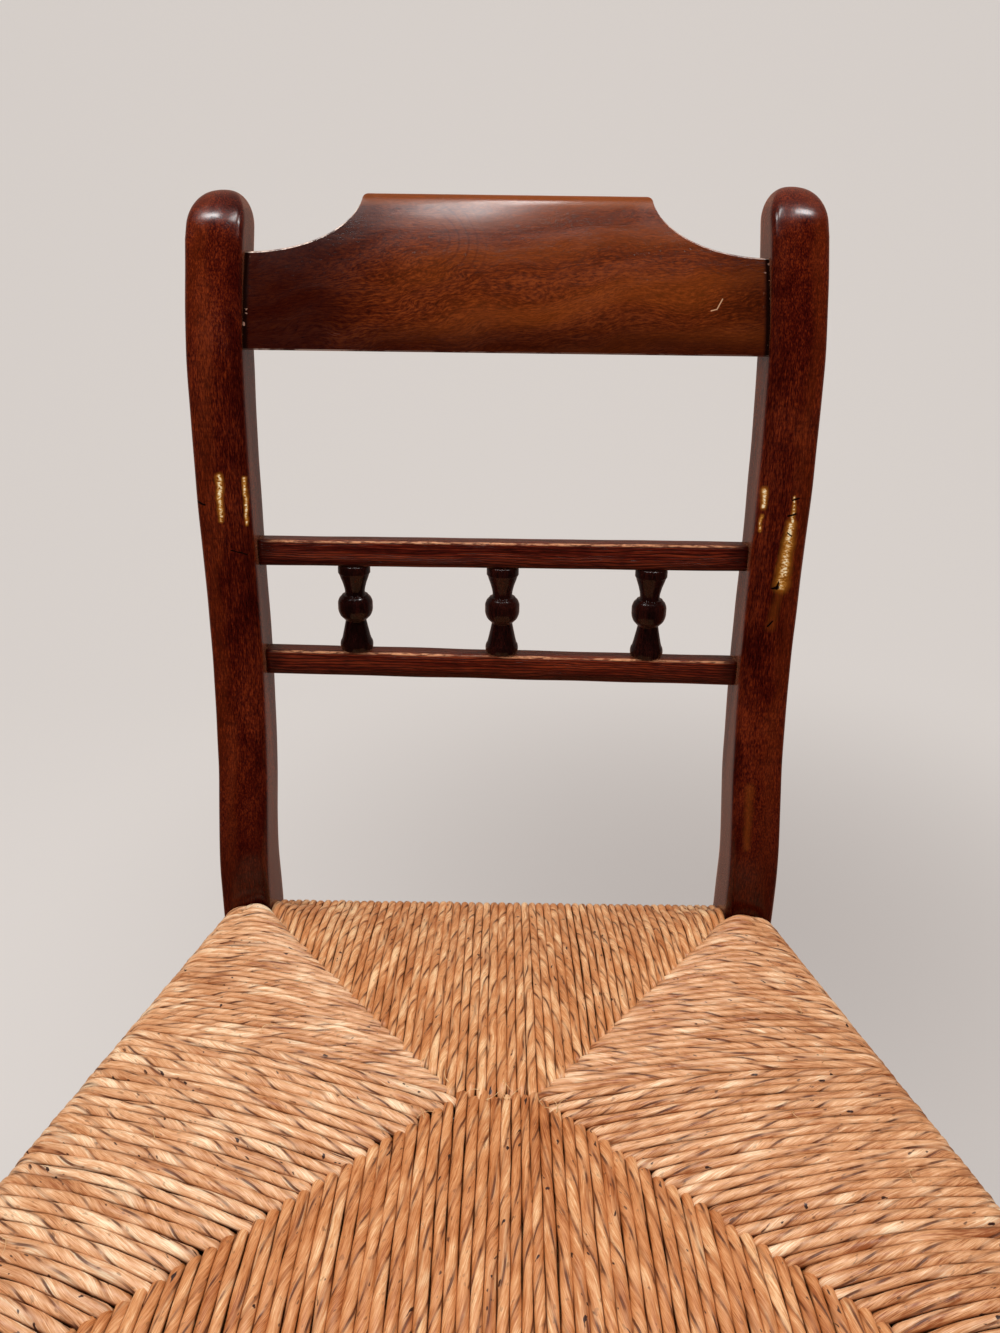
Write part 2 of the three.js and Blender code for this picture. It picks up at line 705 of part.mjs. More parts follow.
const frontStretcherEnds = (height) =>
  [-1, 1].map((side) => legMouth(legPoint(-side, height), legPoint(side, height)));
const sideStretcherEnds = (side, height) => {
  const back = rearPoint(side, height);
  return [legMouth(back, legPoint(side, height)), back];
};
const rearStretcherEnds = () => [-1, 1].map((side) => rearInside(side, rear_stretcher_height));

// The sockets that a stretcher needs at its two ends.
const stretcherSockets = ([from, to]) => [
  socket(from, direction(to, from), leg_tenon_length, stretcher_tenon_radius, stretcher_sides),
  socket(to, direction(from, to), leg_tenon_length, stretcher_tenon_radius, stretcher_sides),
];

function jointedPost(side) {
  const [back] = side_mouths(side);
  const end = backRailEnd(side);
  return cutAway(
    rearPost(side),
    crestTenon(side, fit_gap),
    backRailTenon(lower_rail, side, fit_gap),
    backRailTenon(upper_rail, side, fit_gap),
    socket(back, direction(side_mouths(side)[1], back), seat_tenon_length, seat_tenon_radius),
    socket(end, at(side, 0, 0), seat_tenon_length, seat_tenon_radius),
    stretcherSockets(sideStretcherEnds(side, side_upper_stretcher))[1],
    stretcherSockets(sideStretcherEnds(side, side_lower_stretcher))[1],
    stretcherSockets(rearStretcherEnds())[side > 0 ? 1 : 0],
  );
}

function frontLeg(side) {
  const height = seat_height + leg_head;
  const foot = legPoint(side, 0);
  const profile = leg_shares.map(([r, h]) => [r * leg_radius, h * height]);
  const turnedLeg = turned(foot, foot.clone().add(up), profile, leg_sides);
  const [, front] = side_mouths(side);
  const mouth = front_mouths[side > 0 ? 1 : 0];
  const end = side > 0 ? 1 : 0;
  return cutAway(
    turnedLeg,
    socket(front, direction(side_mouths(side)[0], front), leg_tenon_length, seat_tenon_radius),
    socket(mouth, at(side, 0, 0), leg_tenon_length, seat_tenon_radius),
    stretcherSockets(frontStretcherEnds(front_upper_stretcher))[end],
    stretcherSockets(frontStretcherEnds(front_lower_stretcher))[end],
    stretcherSockets(sideStretcherEnds(side, side_upper_stretcher))[0],
    stretcherSockets(sideStretcherEnds(side, side_lower_stretcher))[0],
  );
}

// Materials.
const wood = (color, roughness) => new THREE.MeshStandardMaterial({ color, roughness, metalness: 0 });
const mahogany = wood(0x5e2413, 0.35);
const dark_mahogany = wood(0x2a100a, 0.25);
const ash = wood(0x6a2c18, 0.4);
const hidden_wood = wood(0xb58a5c, 0.8);
const rush = wood(0xc4894f, 0.75);
const loose_rush = wood(0xa98455, 0.95);

// A named mesh of a finished solid.
function piece(name, solid, material) {
  const mesh = solid.getMesh();
  const geometry = new THREE.BufferGeometry();
  geometry.setAttribute("position", new THREE.Float32BufferAttribute(mesh.vertProperties, 3));
  geometry.setIndex(new THREE.BufferAttribute(mesh.triVerts, 1));
  geometry.computeVertexNormals();
  const made = new THREE.Mesh(geometry, material);
  made.name = name;
  return made;
}

const chair = new THREE.Group();
const back = new THREE.Group();
const seat = new THREE.Group();
const base = new THREE.Group();
chair.add(back, seat, base);

const sides = [["left", -1], ["right", 1]];
sides.forEach(([name, side]) => back.add(piece("rear_post_" + name, jointedPost(side), mahogany)));
back.add(piece("crest_rail", crestRail(), mahogany));
back.add(piece("upper_back_rail", backRail(upper_rail), ash));
back.add(piece("lower_back_rail", backRail(lower_rail), ash));
["left", "centre", "right"].forEach((name, i) =>
  back.add(piece("spindle_" + name, spindle(spindle_places[i]), dark_mahogany)),
);

seat.add(piece("seat_rail_front", frontSeatRail(), hidden_wood));
seat.add(piece("seat_rail_back", backSeatRail(), hidden_wood));
sides.forEach(([name, side]) => seat.add(piece("seat_rail_" + name, sideRail(side), hidden_wood)));
seat.add(piece("rush_seat", rushSeat(), rush));
Object.entries(panels).forEach(([name, panel]) =>
  seat.add(piece("stuffing_" + name, stuffing(panel, 0), loose_rush)),
);

sides.forEach(([name, side]) => base.add(piece("front_leg_" + name, frontLeg(side), mahogany)));
const addStretcher = (name, ends, shares) =>
  base.add(piece(name, stretcher(...ends, shares), mahogany));
addStretcher("front_stretcher_upper", frontStretcherEnds(front_upper_stretcher), turned_stretcher_shares);
addStretcher("front_stretcher_lower", frontStretcherEnds(front_lower_stretcher), turned_stretcher_shares);
sides.forEach(([name, side]) => {
  const upper = sideStretcherEnds(side, side_upper_stretcher);
  const lower = sideStretcherEnds(side, side_lower_stretcher);
  addStretcher("side_stretcher_upper_" + name, upper, plain_stretcher_shares);
  addStretcher("side_stretcher_lower_" + name, lower, plain_stretcher_shares);
});
addStretcher("rear_stretcher", rearStretcherEnds(), plain_stretcher_shares);

// The origin is the middle of the chair's footprint on the floor.
const bounds = new THREE.Box3().setFromObject(chair);
const middle = bounds.getCenter(at(0, 0, 0));
chair.position.set(-middle.x, -middle.y, -bounds.min.z);

export default chair;
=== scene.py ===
# %% [markdown]
# A spindle back chair with a rush seat. The packed model of the chair comes in as a fixed
# frame, in metres, with +Z up and the front facing -Y. Each cell below makes one kind of
# piece as a surface over that frame: a shape is worked out as whole numpy arrays, put into
# a mesh, and given a material whose pattern follows the wood's grain or the rush's twist.

import math

import bpy
import numpy as np
from mathutils import Matrix, Vector


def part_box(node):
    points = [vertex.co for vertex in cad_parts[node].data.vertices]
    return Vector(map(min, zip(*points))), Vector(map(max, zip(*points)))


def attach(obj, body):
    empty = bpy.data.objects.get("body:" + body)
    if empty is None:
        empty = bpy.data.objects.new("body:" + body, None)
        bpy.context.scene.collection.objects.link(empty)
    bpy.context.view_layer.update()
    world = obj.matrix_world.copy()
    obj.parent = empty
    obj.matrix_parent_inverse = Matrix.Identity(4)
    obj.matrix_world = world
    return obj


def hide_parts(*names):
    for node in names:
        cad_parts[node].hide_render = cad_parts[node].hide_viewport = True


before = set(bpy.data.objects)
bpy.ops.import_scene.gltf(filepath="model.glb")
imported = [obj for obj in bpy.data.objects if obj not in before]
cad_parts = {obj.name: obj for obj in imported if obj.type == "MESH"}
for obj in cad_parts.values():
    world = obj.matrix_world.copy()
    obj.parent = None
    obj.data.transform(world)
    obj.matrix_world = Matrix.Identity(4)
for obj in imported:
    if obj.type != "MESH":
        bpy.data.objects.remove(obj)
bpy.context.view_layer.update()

# %% [markdown]
# The chair is easiest to describe from its own datum: millimetres, with Y = 0 at the front
# face of the rear posts and heights from the level where those faces leave the seat. Two
# numbers then carry everything into the frame: the posts' front face, which the frame
# gives, and the height of the seat above the floor.

# %% Chair measures and the way into the frame
SEAT_HEIGHT = 440.0
POST_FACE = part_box("rear_post_left")[0].y * 1000
BACK_WIDTH = 350.0


def to_frame(points):
    """Millimetres from the chair's datum become metres in the frame: shift, then scale."""
    return (np.asarray(points, float) + (0, POST_FACE, SEAT_HEIGHT)) / 1000


def up_to(points, height):
    """A copy of points with every height set to the one given."""
    out = np.array(points, float)
    out[..., 2] = height
    return out


print("posts' front face", round(POST_FACE, 2), "mm behind the origin; back", BACK_WIDTH, "wide")

# %% [markdown]
# Two helpers shape much of what follows. A smooth curve passes through a few measured
# points and never swells past them, as a line drawn along a thin batten does. Soft waves
# make an edge a little uneven, as hand work leaves it.

# %% Smooth curves and soft waves
def smooth_curve(positions, values):
    """A curve through rising positions that never overshoots. Between two points it is a
    cubic; each tangent is the harmonic mean of the slopes on both sides, or zero where
    the slopes change sign."""
    places, heights = np.array(positions, float), np.array(values, float)
    slopes = np.diff(heights) / np.diff(places)
    before, after = np.append(slopes[0], slopes), np.append(slopes, slopes[-1])
    same_way = before * after > 0
    total = np.where(same_way, before + after, 1)
    tangents = np.where(same_way, 2 * before * after / total, 0)

    def curve(where):
        i = np.clip(np.searchsorted(places, where) - 1, 0, len(places) - 2)
        span = places[i + 1] - places[i]
        t = (where - places[i]) / span
        return (
            heights[i] * (1 + 2 * t) * (1 - t) ** 2
            + heights[i + 1] * (3 - 2 * t) * t**2
            + span * (tangents[i] * t * (1 - t) ** 2 - tangents[i + 1] * (1 - t) * t**2)
        )

    return curve


def waves(where, seed, lengths, count=3):
    """A soft random line: a sum of sines whose wavelengths lie between two lengths, each
    with a random phase. It stays within about -1 and 1."""
    rng = np.random.default_rng(seed)
    total = np.zeros_like(np.asarray(where, float))
    for wavelength in rng.uniform(*lengths, count):
        total += np.sin(2 * np.pi * (where / wavelength + rng.random()))
    return total / count


halfway = smooth_curve((0, 1, 2), (0, 1, 4))(1.5)
print("between 1 and 4 the curve passes", round(float(halfway), 2))

# %% [markdown]
# Every wooden piece is a skin over a stack of rings, and so is each strand of rush. One
# helper gives the faces of such a tube: four-sided ones between neighbouring rings, and a
# fan that closes each end. The strands of a panel are many tubes in one mesh, so it gives
# the faces of as many as are asked for.

# %% Faces of closed tubes
def tube_faces(count, stack, around):
    """Corner numbers of count closed tubes: one array of four-sided faces, which join
    neighbouring rings, and one of triangles, which fan out from a hub at each end. A
    tube's points are its rings in order, then its two hubs."""
    r, i = np.meshgrid(np.arange(stack - 1), np.arange(around), indexing="ij")
    low, low_next = r * around + i, r * around + (i + 1) % around
    sides = np.stack([low, low_next, low_next + around, low + around], -1).reshape(-1, 4)
    i, block = np.arange(around), stack * around
    following, last = (i + 1) % around, block - around
    foot = np.stack([np.full(around, block), following, i], -1)
    head = np.stack([np.full(around, block + 1), last + i, last + following], -1)
    starts = np.arange(count)[:, None, None] * (block + 2)
    one_tube = (sides, np.concatenate([foot, head]))
    return [(starts + faces).reshape(-1, faces.shape[1]) for faces in one_tube]


def with_hubs(values):
    """Values on the rings of tubes (tube, ring, around, ...) as one row for each point: a
    tube's rings in order, then its two hubs, which take the means of the end rings."""
    hubs = values[:, [0, -1]].mean(2)
    body = values.reshape((len(values), -1) + values.shape[3:])
    return np.concatenate([body, hubs], 1).reshape((-1,) + values.shape[3:])


def facing_out(points, faces):
    """The faces, turned round if the volume they enclose comes out negative."""
    volume = 0.0
    for face_set in faces:
        for k in range(1, face_set.shape[1] - 1):
            a, b, c = (points[face_set[:, i]] for i in (0, k, k + 1))
            volume += np.einsum("ij,ij->", a, np.cross(b, c))
    return [face_set[:, ::-1] if volume < 0 else face_set for face_set in faces]


print("a tube of 3 rings of 4 points has", [len(part) for part in tube_faces(1, 3, 4)], "faces")

# %% [markdown]
# A wooden piece also stores a second place for each point, called grain: metres along the
# wood's fibres and across them. The wood materials read that, so the figure runs the right
# way on a piece that stands, lies or leans.

# %% Pieces with a grain
def new_piece(name, points, faces, attributes=()):
    """A smooth-shaded object from points in the frame's metres, faces and attributes."""
    mesh = bpy.data.meshes.new(name)
    sides = [row for face_set in facing_out(points, faces) for row in face_set.tolist()]
    mesh.from_pydata(points.tolist(), [], sides)
    for label, values in dict(attributes).items():
        kind, field = ("FLOAT_VECTOR", "vector") if values.ndim == 2 else ("FLOAT", "value")
        made = mesh.attributes.new(label, kind, "POINT")
        made.data.foreach_set(field, values.astype(np.float32).ravel())
    mesh.shade_smooth()
    mesh.validate()
    piece = bpy.data.objects.new(name, mesh)
    bpy.context.scene.collection.objects.link(piece)
    return piece


def grain_start(seed):
    """Where in the wood's pattern a piece begins, in millimetres, so that no two match."""
    return np.random.default_rng(seed).uniform(-500, 500, 3)


def skin(name, rings, grain, extra=()):
    """An object over a stack of rings (stack, around, 3), closed by a fan at each end. The
    grain has a vector for each ring point, and extra maps more attributes of one number
    each."""
    attributes = {"grain": with_hubs(grain[None]) / 1000}
    attributes |= {label: with_hubs(values[None]) for label, values in dict(extra).items()}
    points = to_frame(with_hubs(rings[None]))
    return new_piece(name, points, tube_faces(1, *rings.shape[:2]), attributes)


print("the grain of a piece starts, for one, at", np.round(grain_start(1)).tolist(), "mm")

# %% [markdown]
# Spindles, legs and stretchers are turned on a lathe, so a list of radii along an axis says
# all there is to say about their shape.

# %% Turned pieces
TURNED_RINGS = 150


def lathe(name, start, end, profile, sides, seed):
    """A turned piece: a circle whose radius follows the profile while its middle runs from
    start to end. The profile lists (radius, distance); a smooth curve joins its points."""
    start, end = np.array(start, float), np.array(end, float)
    axis = (end - start) / np.linalg.norm(end - start)
    side = np.cross(axis, (0, 1, 0) if abs(axis[1]) < 0.9 else (1, 0, 0))
    side /= np.linalg.norm(side)
    other = np.cross(axis, side)
    radii, places = np.array(profile, float).T
    even = np.linspace(places[0], places[-1], TURNED_RINGS)
    knots = np.unique(np.concatenate([places, even]))
    radius = smooth_curve(places, radii)(knots)
    angle = np.linspace(0, 2 * np.pi, sides, endpoint=False)
    round_way = np.cos(angle)[:, None] * side + np.sin(angle)[:, None] * other
    rings = start + knots[:, None, None] * axis + radius[:, None, None] * round_way
    across = radius[:, None] * np.stack([np.cos(angle), np.sin(angle)])[:, None, :]
    along = np.broadcast_to(knots[:, None], across[0].shape)
    return skin(name, rings, np.stack([along, *across], -1) + grain_start(seed))


print("a turned piece gets about", TURNED_RINGS, "rings")

# %% [markdown]
# The rear posts are sawn and shaved from one piece each, from the floor to the rounded
# top. The front face is a slow S: it leans back off the seat, stands nearly upright at the
# thin rails, and leans back again to the crest. Below the seat the legs sweep back as well.
# A few measured heights, with how far back the front lies and how deep and wide the post is
# there, give three smooth curves.

# %% The line of a rear post
POST_HEIGHT, POST_WIDTH, POST_DEPTH = 403.0, 30.0, 40.0
POST_LEAN, LEG_SWEEP = 72.0, 58.0
POST_X = (BACK_WIDTH - POST_WIDTH) / 2
INNER_FACE = BACK_WIDTH / 2 - POST_WIDTH
# The gap that is left between two pieces that meet.
FIT_GAP = 0.3
# Height, set-back of the front face, depth and width, each a share of its own size.
POST_LINE_SHARES = [
    [0.194, 0.293, 0.93, 1],
    [0.387, 0.451, 0.84, 1],
    [0.578, 0.471, 0.82, 1],
    [0.772, 0.565, 0.84, 1],
    [1, 1, 0.87, 1],
]
REAR_LEG_LINE_SHARES = [
    [1, 1, 0.7, 0.86],
    [0.72, 0.47, 0.8, 0.92],
    [0.42, 0.12, 0.92, 0.98],
    [0.145, 0, 1, 1],
]
below = np.array(REAR_LEG_LINE_SHARES) * (-SEAT_HEIGHT, LEG_SWEEP, 1, 1)
above = np.array([[0, 0, 1, 1]] + POST_LINE_SHARES) * (POST_HEIGHT, POST_LEAN, 1, 1)
post_rows = np.concatenate([below, above]).T
post_front = smooth_curve(post_rows[0], post_rows[1])
post_depth_share = smooth_curve(post_rows[0], post_rows[2])
post_width_share = smooth_curve(post_rows[0], post_rows[3])


def post_middle(height):
    """How far back the middle of the post lies at a height."""
    return post_front(height) + post_depth_share(height) * POST_DEPTH / 2


print("posts lean", POST_LEAN, "mm back over", POST_HEIGHT, "mm, inner faces at", INNER_FACE)

# %% [markdown]
# A stack of rounded rectangles carried up that line gives the whole post. Near the top the
# rectangle narrows as a quarter turn does and its front bulges and leans back, like the tip
# of a thumb. The posts were shaped by eye: both widen a little outwards as they rise, and
# their tops aren't level or quite alike.

# %% Rear posts
POST_ARRIS, POST_DOME, POST_FLARE = 4.0, 19.0, 1.6
THUMB_LENGTH, THUMB_LEAN = 26.0, 21.0
# How far the front's edges lie behind its ridge, on the shaft and at the top; how far
# outwards of the middle that ridge ends; and the power by which both set in.
POST_CROWN, CROWN_RIDGE, CROWN_ONSET = (0.6, 3.6), 1.0, 0.5
# How far each top stands from the planned height: the left is worn, the right was left long.
TOP_CHANGE = {-1: -1.2, 1: 4.3}
DOME_FULLNESS, DOME_DEPTH_FULLNESS, DOME_END = 0.8, 0.45, 0.97
SHAFT_RINGS, DOME_RINGS = 330, 22
# The most of its half width that an arris takes, how far it wanders as a share, the depth
# of the dents in millimetres, and how fast the outward edge fades away from the front.
MOST_ROUND, ARRIS_WANDER, POST_DENTS, OUTWARD_FADE = 0.92, 0.25, 0.22, 4


def rounded_rectangle(half_x, half_y, arris, per_corner=6, per_side=5):
    """Rings (n, points, 2) of rectangles with round corners: each corner is a quarter
    circle, and points share out each straight side between two corners."""
    half_x, half_y, arris = (np.asarray(v, float)[:, None] for v in (half_x, half_y, arris))
    corners = []
    for quarter, (sx, sy) in enumerate([(1, 1), (-1, 1), (-1, -1), (1, -1)]):
        angle = (quarter + np.linspace(0, 1, per_corner)) * np.pi / 2
        x = sx * (half_x - arris) + arris * np.cos(angle)
        y = sy * (half_y - arris) + arris * np.sin(angle)
        corners.append(np.stack([x, y], -1))
    ring = []
    for corner, following in zip(corners, corners[1:] + corners[:1]):
        share = np.linspace(0, 1, per_side + 2)[1:-1, None]
        start, end = corner[:, -1:], following[:, :1]
        ring += [corner, start * (1 - share) + end * share]
    return np.concatenate(ring, 1)


def rear_post(name, side, seed):
    """Rounded rectangles up the post's line. In the dome they shrink as the cosine of an
    angle, to a power that keeps the sides full, while the height grows as its sine. Over
    the last stretch the front leans back along a quarter ellipse, and its points lie back
    by the square of their distance from the ridge."""
    dome_start = POST_HEIGHT + TOP_CHANGE[side] - POST_DOME
    shaft = np.linspace(-SEAT_HEIGHT, dome_start, SHAFT_RINGS)
    angle = np.linspace(0, DOME_END, DOME_RINGS)[1:] * np.pi / 2
    heights = np.append(shaft, dome_start + POST_DOME * np.sin(angle))
    narrow = np.append(np.ones_like(shaft), np.cos(angle))
    thumb = np.clip((heights - dome_start - POST_DOME) / THUMB_LENGTH + 1, 0, 1)
    lean = THUMB_LEAN * (1 - np.sqrt(1 - thumb**2))
    flare = POST_FLARE * np.maximum(heights, 0) / POST_HEIGHT
    half_x = (post_width_share(heights) * POST_WIDTH + flare) / 2 * narrow**DOME_FULLNESS
    half_y = (post_depth_share(heights) * POST_DEPTH - lean) / 2 * narrow**DOME_DEPTH_FULLNESS
    arris = POST_ARRIS * (1 + ARRIS_WANDER * waves(heights, seed, (60, 240)))
    arris = np.minimum(arris, MOST_ROUND * np.minimum(half_x, half_y))
    flat = rounded_rectangle(half_x, half_y, arris)
    outward = side * flat[..., 0] / half_x[:, None]
    onset = thumb**CROWN_ONSET
    ridge = side * CROWN_RIDGE * onset * narrow
    crown = np.interp(onset, (0, 1), POST_CROWN) * narrow
    aside = (flat[..., 0] - ridge[:, None]) / half_x[:, None]
    frontness = np.clip(-flat[..., 1] / half_y[:, None], 0, 1)
    flat[..., 1] += crown[:, None] * aside**2 * frontness
    dents = POST_DENTS * waves(heights, seed + 1, (25, 70), 4)
    flat *= (1 - dents[:, None, None] / POST_WIDTH)
    middle_x = side * (POST_X + flare / 2)
    middle = np.stack([middle_x, post_middle(heights) + lean / 2, heights], -1)
    rings = middle[:, None, :] + np.pad(flat, ((0, 0), (0, 0), (0, 1)))
    grain = rings[..., [2, 0, 1]] + grain_start(seed)
    return skin(name, rings, grain, {"outward": outward * frontness**OUTWARD_FADE})


posts = {
    name: rear_post(name + "_finished", side, seed)
    for name, side, seed in (("rear_post_left", -1, 11), ("rear_post_right", 1, 12))
}
print("posts", POST_HEIGHT + SEAT_HEIGHT, "mm tall, tops changed by", TOP_CHANGE)

# %% [markdown]
# The crest rail is sawn from thick stock. Seen from the end it leans back more and more and
# finishes in a rolled top. That section is one line, from the front lower edge up over the
# roll and down to the back lower edge.

# %% Section of the crest rail
CREST_BOTTOM, CREST_RISE, CREST_LEAN = 319.0, 78.5, 42.6
CREST_THICKNESS, CREST_SETBACK, CREST_BEND_SHARE = 19.4, 3.3, 0.22
CREST_END = INNER_FACE - FIT_GAP
CREST_Y = post_front(CREST_BOTTOM) + CREST_SETBACK


def crest_section(samples=400):
    """The rail's uncut section as (Y, Z) points, from its front lower edge over the roll
    to its back lower edge. The front is a quadratic curve, the back lies one thickness
    behind it, square to it, and a half circle joins the two."""
    t = np.linspace(0, 1, samples)[:, None]
    bend = np.array([CREST_BEND_SHARE * CREST_LEAN, CREST_RISE / 2])
    tip = np.array([CREST_LEAN, CREST_RISE])
    front = 2 * t * (1 - t) * bend + t**2 * tip
    tangent = 2 * (1 - 2 * t) * bend + 2 * t * tip
    tangent /= np.linalg.norm(tangent, axis=1, keepdims=True)
    behind = np.stack([tangent[:, 1], -tangent[:, 0]], -1)
    back = front + CREST_THICKNESS * behind
    lean = math.atan2(tangent[-1, 1], tangent[-1, 0])
    angle = lean + np.pi / 2 - np.linspace(0, 1, samples // 2)[1:-1] * np.pi
    roll = (front[-1] + back[-1]) / 2
    roll = roll + CREST_THICKNESS / 2 * np.stack([np.cos(angle), np.sin(angle)], -1)
    drop = front[0] - CREST_THICKNESS * tangent[0]
    back_drop = drop + CREST_THICKNESS * behind[0]
    return np.concatenate([[drop], front, roll, back[::-1], [back_drop]])


section_line = crest_section()
print("crest section", len(section_line), "points,", round(section_line[:, 1].max(), 1), "mm high")

# %% [markdown]
# Seen from the front, each upper corner of the crest is scooped out in a cove. So at each
# place along the rail everything above the outline's height is cut off level. Small curves
# soften the edges that the saw left, and an attribute marks them, because the polish has
# worn through to pale wood there.

# %% Cutting the section level
# The bevel in millimetres, and the most of the cut's width that it takes.
CREST_BEVEL, MOST_BEVEL = 0.8, 0.3
# How worn the corners are: front and back of the cut, then back and front of the foot.
CORNER_WEAR = (1.0, 0.2, 0.0, 0.35)


def cut_section(line, height, counts=(34, 6, 34, 6)):
    """The section cut level at a height and at its foot, each corner rounded as a quadratic
    curve: points up the front, over the cut, down the back and along the foot, always
    equally many, and with them how worn each point is."""
    run = np.append(0, np.cumsum(np.linalg.norm(np.diff(line, axis=0), axis=1)))
    top = int(np.argmax(line[:, 1]))
    up = np.interp([0, height], line[: top + 1, 1], run[: top + 1])
    down = np.interp([-height, 0], -line[top:, 1], run[top:])

    def on_line(places):
        return np.stack([np.interp(places, run, line[:, k]) for k in (0, 1)], -1)

    corners = on_line([up[1], down[0], down[1], up[0]])
    soft = min(CREST_BEVEL, MOST_BEVEL * np.linalg.norm(corners[1] - corners[0]))

    def inside(start, end, count):
        """Distances from start to end, held back at both, with one more close to each."""
        start, end, near = start + soft, end - soft, soft / 6
        return np.concatenate([[start], np.linspace(start + near, end - near, count - 2), [end]])

    def level(a, b, count):
        """Points on the straight way from one corner to another."""
        length = np.linalg.norm(b - a)
        return a + inside(0, length, count)[:, None] * (b - a) / length

    sides = [
        on_line(inside(*up, counts[0])), level(corners[0], corners[1], counts[1]),
        on_line(inside(*down, counts[2])), level(corners[2], corners[3], counts[3]),
    ]
    t = np.array([0.25, 0.5, 0.75])[:, None]
    ring, wear = [], []
    for k, corner in enumerate(corners):
        before, after = sides[k][-1], sides[(k + 1) % 4][0]
        ring += [sides[k], (1 - t) ** 2 * before + 2 * t * (1 - t) * corner + t**2 * after]
        on_side = np.zeros(counts[k])
        on_side[[0, -1]] = CORNER_WEAR[k - 1], CORNER_WEAR[k]
        wear += [on_side, np.full(len(t), CORNER_WEAR[k])]
    return np.concatenate(ring), np.concatenate(wear)


print("a cut section has", len(cut_section(section_line, CREST_RISE)[0]), "points")

# %% [markdown]
# The outline is level in the middle, turns a small corner and falls in a cove to the post.
# One cut section at each place along it, stacked from left to right, makes the rail.

# %% Crest rail
CREST_TOP_HALF, CREST_COVE_HEIGHT = 81.0, 33.0
CREST_CORNER, CREST_WORN_FLAT = 3.0, 0.15


def crest_outline(top):
    """Places along one half of the rail with the outline's height at each, from the middle
    to the post: level, a small round corner, and a cove that is a quarter of an ellipse,
    from the height where the corner leaves it."""
    rim = CREST_RISE + CREST_THICKNESS / 4
    start = math.asin((rim - top + CREST_CORNER) / CREST_COVE_HEIGHT)
    sweep = np.linspace(start, np.pi / 2, 41)
    cove_x = CREST_END - (CREST_END - CREST_TOP_HALF) * np.cos(sweep)
    cove_z = rim - CREST_COVE_HEIGHT * np.sin(sweep)
    level = np.linspace(0, cove_x[0] - CREST_CORNER, 40)
    turn = np.linspace(0, np.pi / 2, 7)[1:-1]
    corner_x = cove_x[0] - CREST_CORNER + CREST_CORNER * np.sin(turn)
    corner_z = top - CREST_CORNER + CREST_CORNER * np.cos(turn)
    x = np.concatenate([level, corner_x, cove_x])
    return x, np.concatenate([np.full_like(level, top), corner_z, cove_z])


section_top = section_line[:, 1].max() - CREST_WORN_FLAT
half_x, half_height = crest_outline(section_top)
crest_x = np.concatenate([-half_x[:0:-1], half_x])
crest_heights = np.concatenate([half_height[:0:-1], half_height])
cut_sections = [cut_section(section_line, height) for height in crest_heights]
sections, crest_wear = (np.stack(part) for part in zip(*cut_sections))
crest_rings = np.empty(sections.shape[:2] + (3,))
crest_rings[..., 0] = crest_x[:, None]
crest_rings[..., 1:] = sections + (CREST_Y, CREST_BOTTOM)
crest = skin("crest_rail_finished", crest_rings, crest_rings, {"wear": crest_wear})
print("crest rail", len(crest_x), "sections, top at", round(CREST_BOTTOM + section_top, 1))

# %% [markdown]
# Two thin rails cross the back, tilted to lie square to the line that joins them. They are
# planed by hand, so their edges are a little uneven: the arris and the height wander by a
# few tenths of a millimetre, and the lower one falls a little to the right. A rail also
# stores how high and how far back each point is on its section, for the wear on its edges.

# %% Back rails
UPPER_RAIL_HEIGHT, LOWER_RAIL_HEIGHT = 204.3, 133.6
BACK_RAIL_HEIGHT, BACK_RAIL_DEPTH, BACK_RAIL_ARRIS = 15.7, 13.0, 1.7
RAIL_FALL = {"upper": 0.0, "lower": 3.9}
# How far the planed rails wander: depth and height in millimetres, the arris as a share.
DEPTH_WANDER, HEIGHT_WANDER, EDGE_WANDER = 0.12, 0.15, 0.3
rail_middles = {
    name: np.array([0, post_middle(height), height])
    for name, height in (("upper", UPPER_RAIL_HEIGHT), ("lower", LOWER_RAIL_HEIGHT))
}
back_axis = rail_middles["upper"] - rail_middles["lower"]
back_axis /= np.linalg.norm(back_axis)
rail_front = np.cross(back_axis, (1, 0, 0))


def rail_point(which, x):
    """A point of a back rail's axis for each place across the chair: the rail's middle,
    moved sideways, less the share of the rail's fall that belongs there."""
    x = np.asarray(x, float)
    sinks = RAIL_FALL[which] * x / (2 * CREST_END)
    aside, down = np.multiply.outer(x, (1, 0, 0)), np.multiply.outer(sinks, back_axis)
    return rail_middles[which] + aside - down


def back_rail(which, seed):
    """Rounded rectangles carried along X. Their height and arris wander with soft waves."""
    x = np.linspace(-CREST_END, CREST_END, 120)
    half_depth = BACK_RAIL_DEPTH / 2 + DEPTH_WANDER * waves(x, seed, (60, 160))
    half_height = BACK_RAIL_HEIGHT / 2 + HEIGHT_WANDER * waves(x, seed + 1, (80, 260))
    arris = BACK_RAIL_ARRIS * (1 + EDGE_WANDER * waves(x, seed + 2, (30, 120)))
    flat = rounded_rectangle(half_depth, half_height, arris, 5, 3)
    section = flat[..., :1] * rail_front + flat[..., 1:] * back_axis
    along = np.broadcast_to(x[:, None, None], flat[..., :1].shape)
    grain = np.concatenate([along, flat], -1) + grain_start(seed)
    back, rise = flat[..., 0] / half_depth[:, None], flat[..., 1] / half_height[:, None]
    rings = rail_point(which, x)[:, None, :] + section
    return skin(which + "_back_rail_finished", rings, grain, {"back": back, "rise": rise})


back_rails = {
    which + "_back_rail": back_rail(which, seed)
    for which, seed in (("upper", 21), ("lower", 22))
}
print("back rails", list(back_rails), "fall", RAIL_FALL)

# %% [markdown]
# Three short spindles stand between the thin rails. A spindle is turned, so one profile of
# radius against height is enough, drawn out to the room that the two rails leave at its
# place.

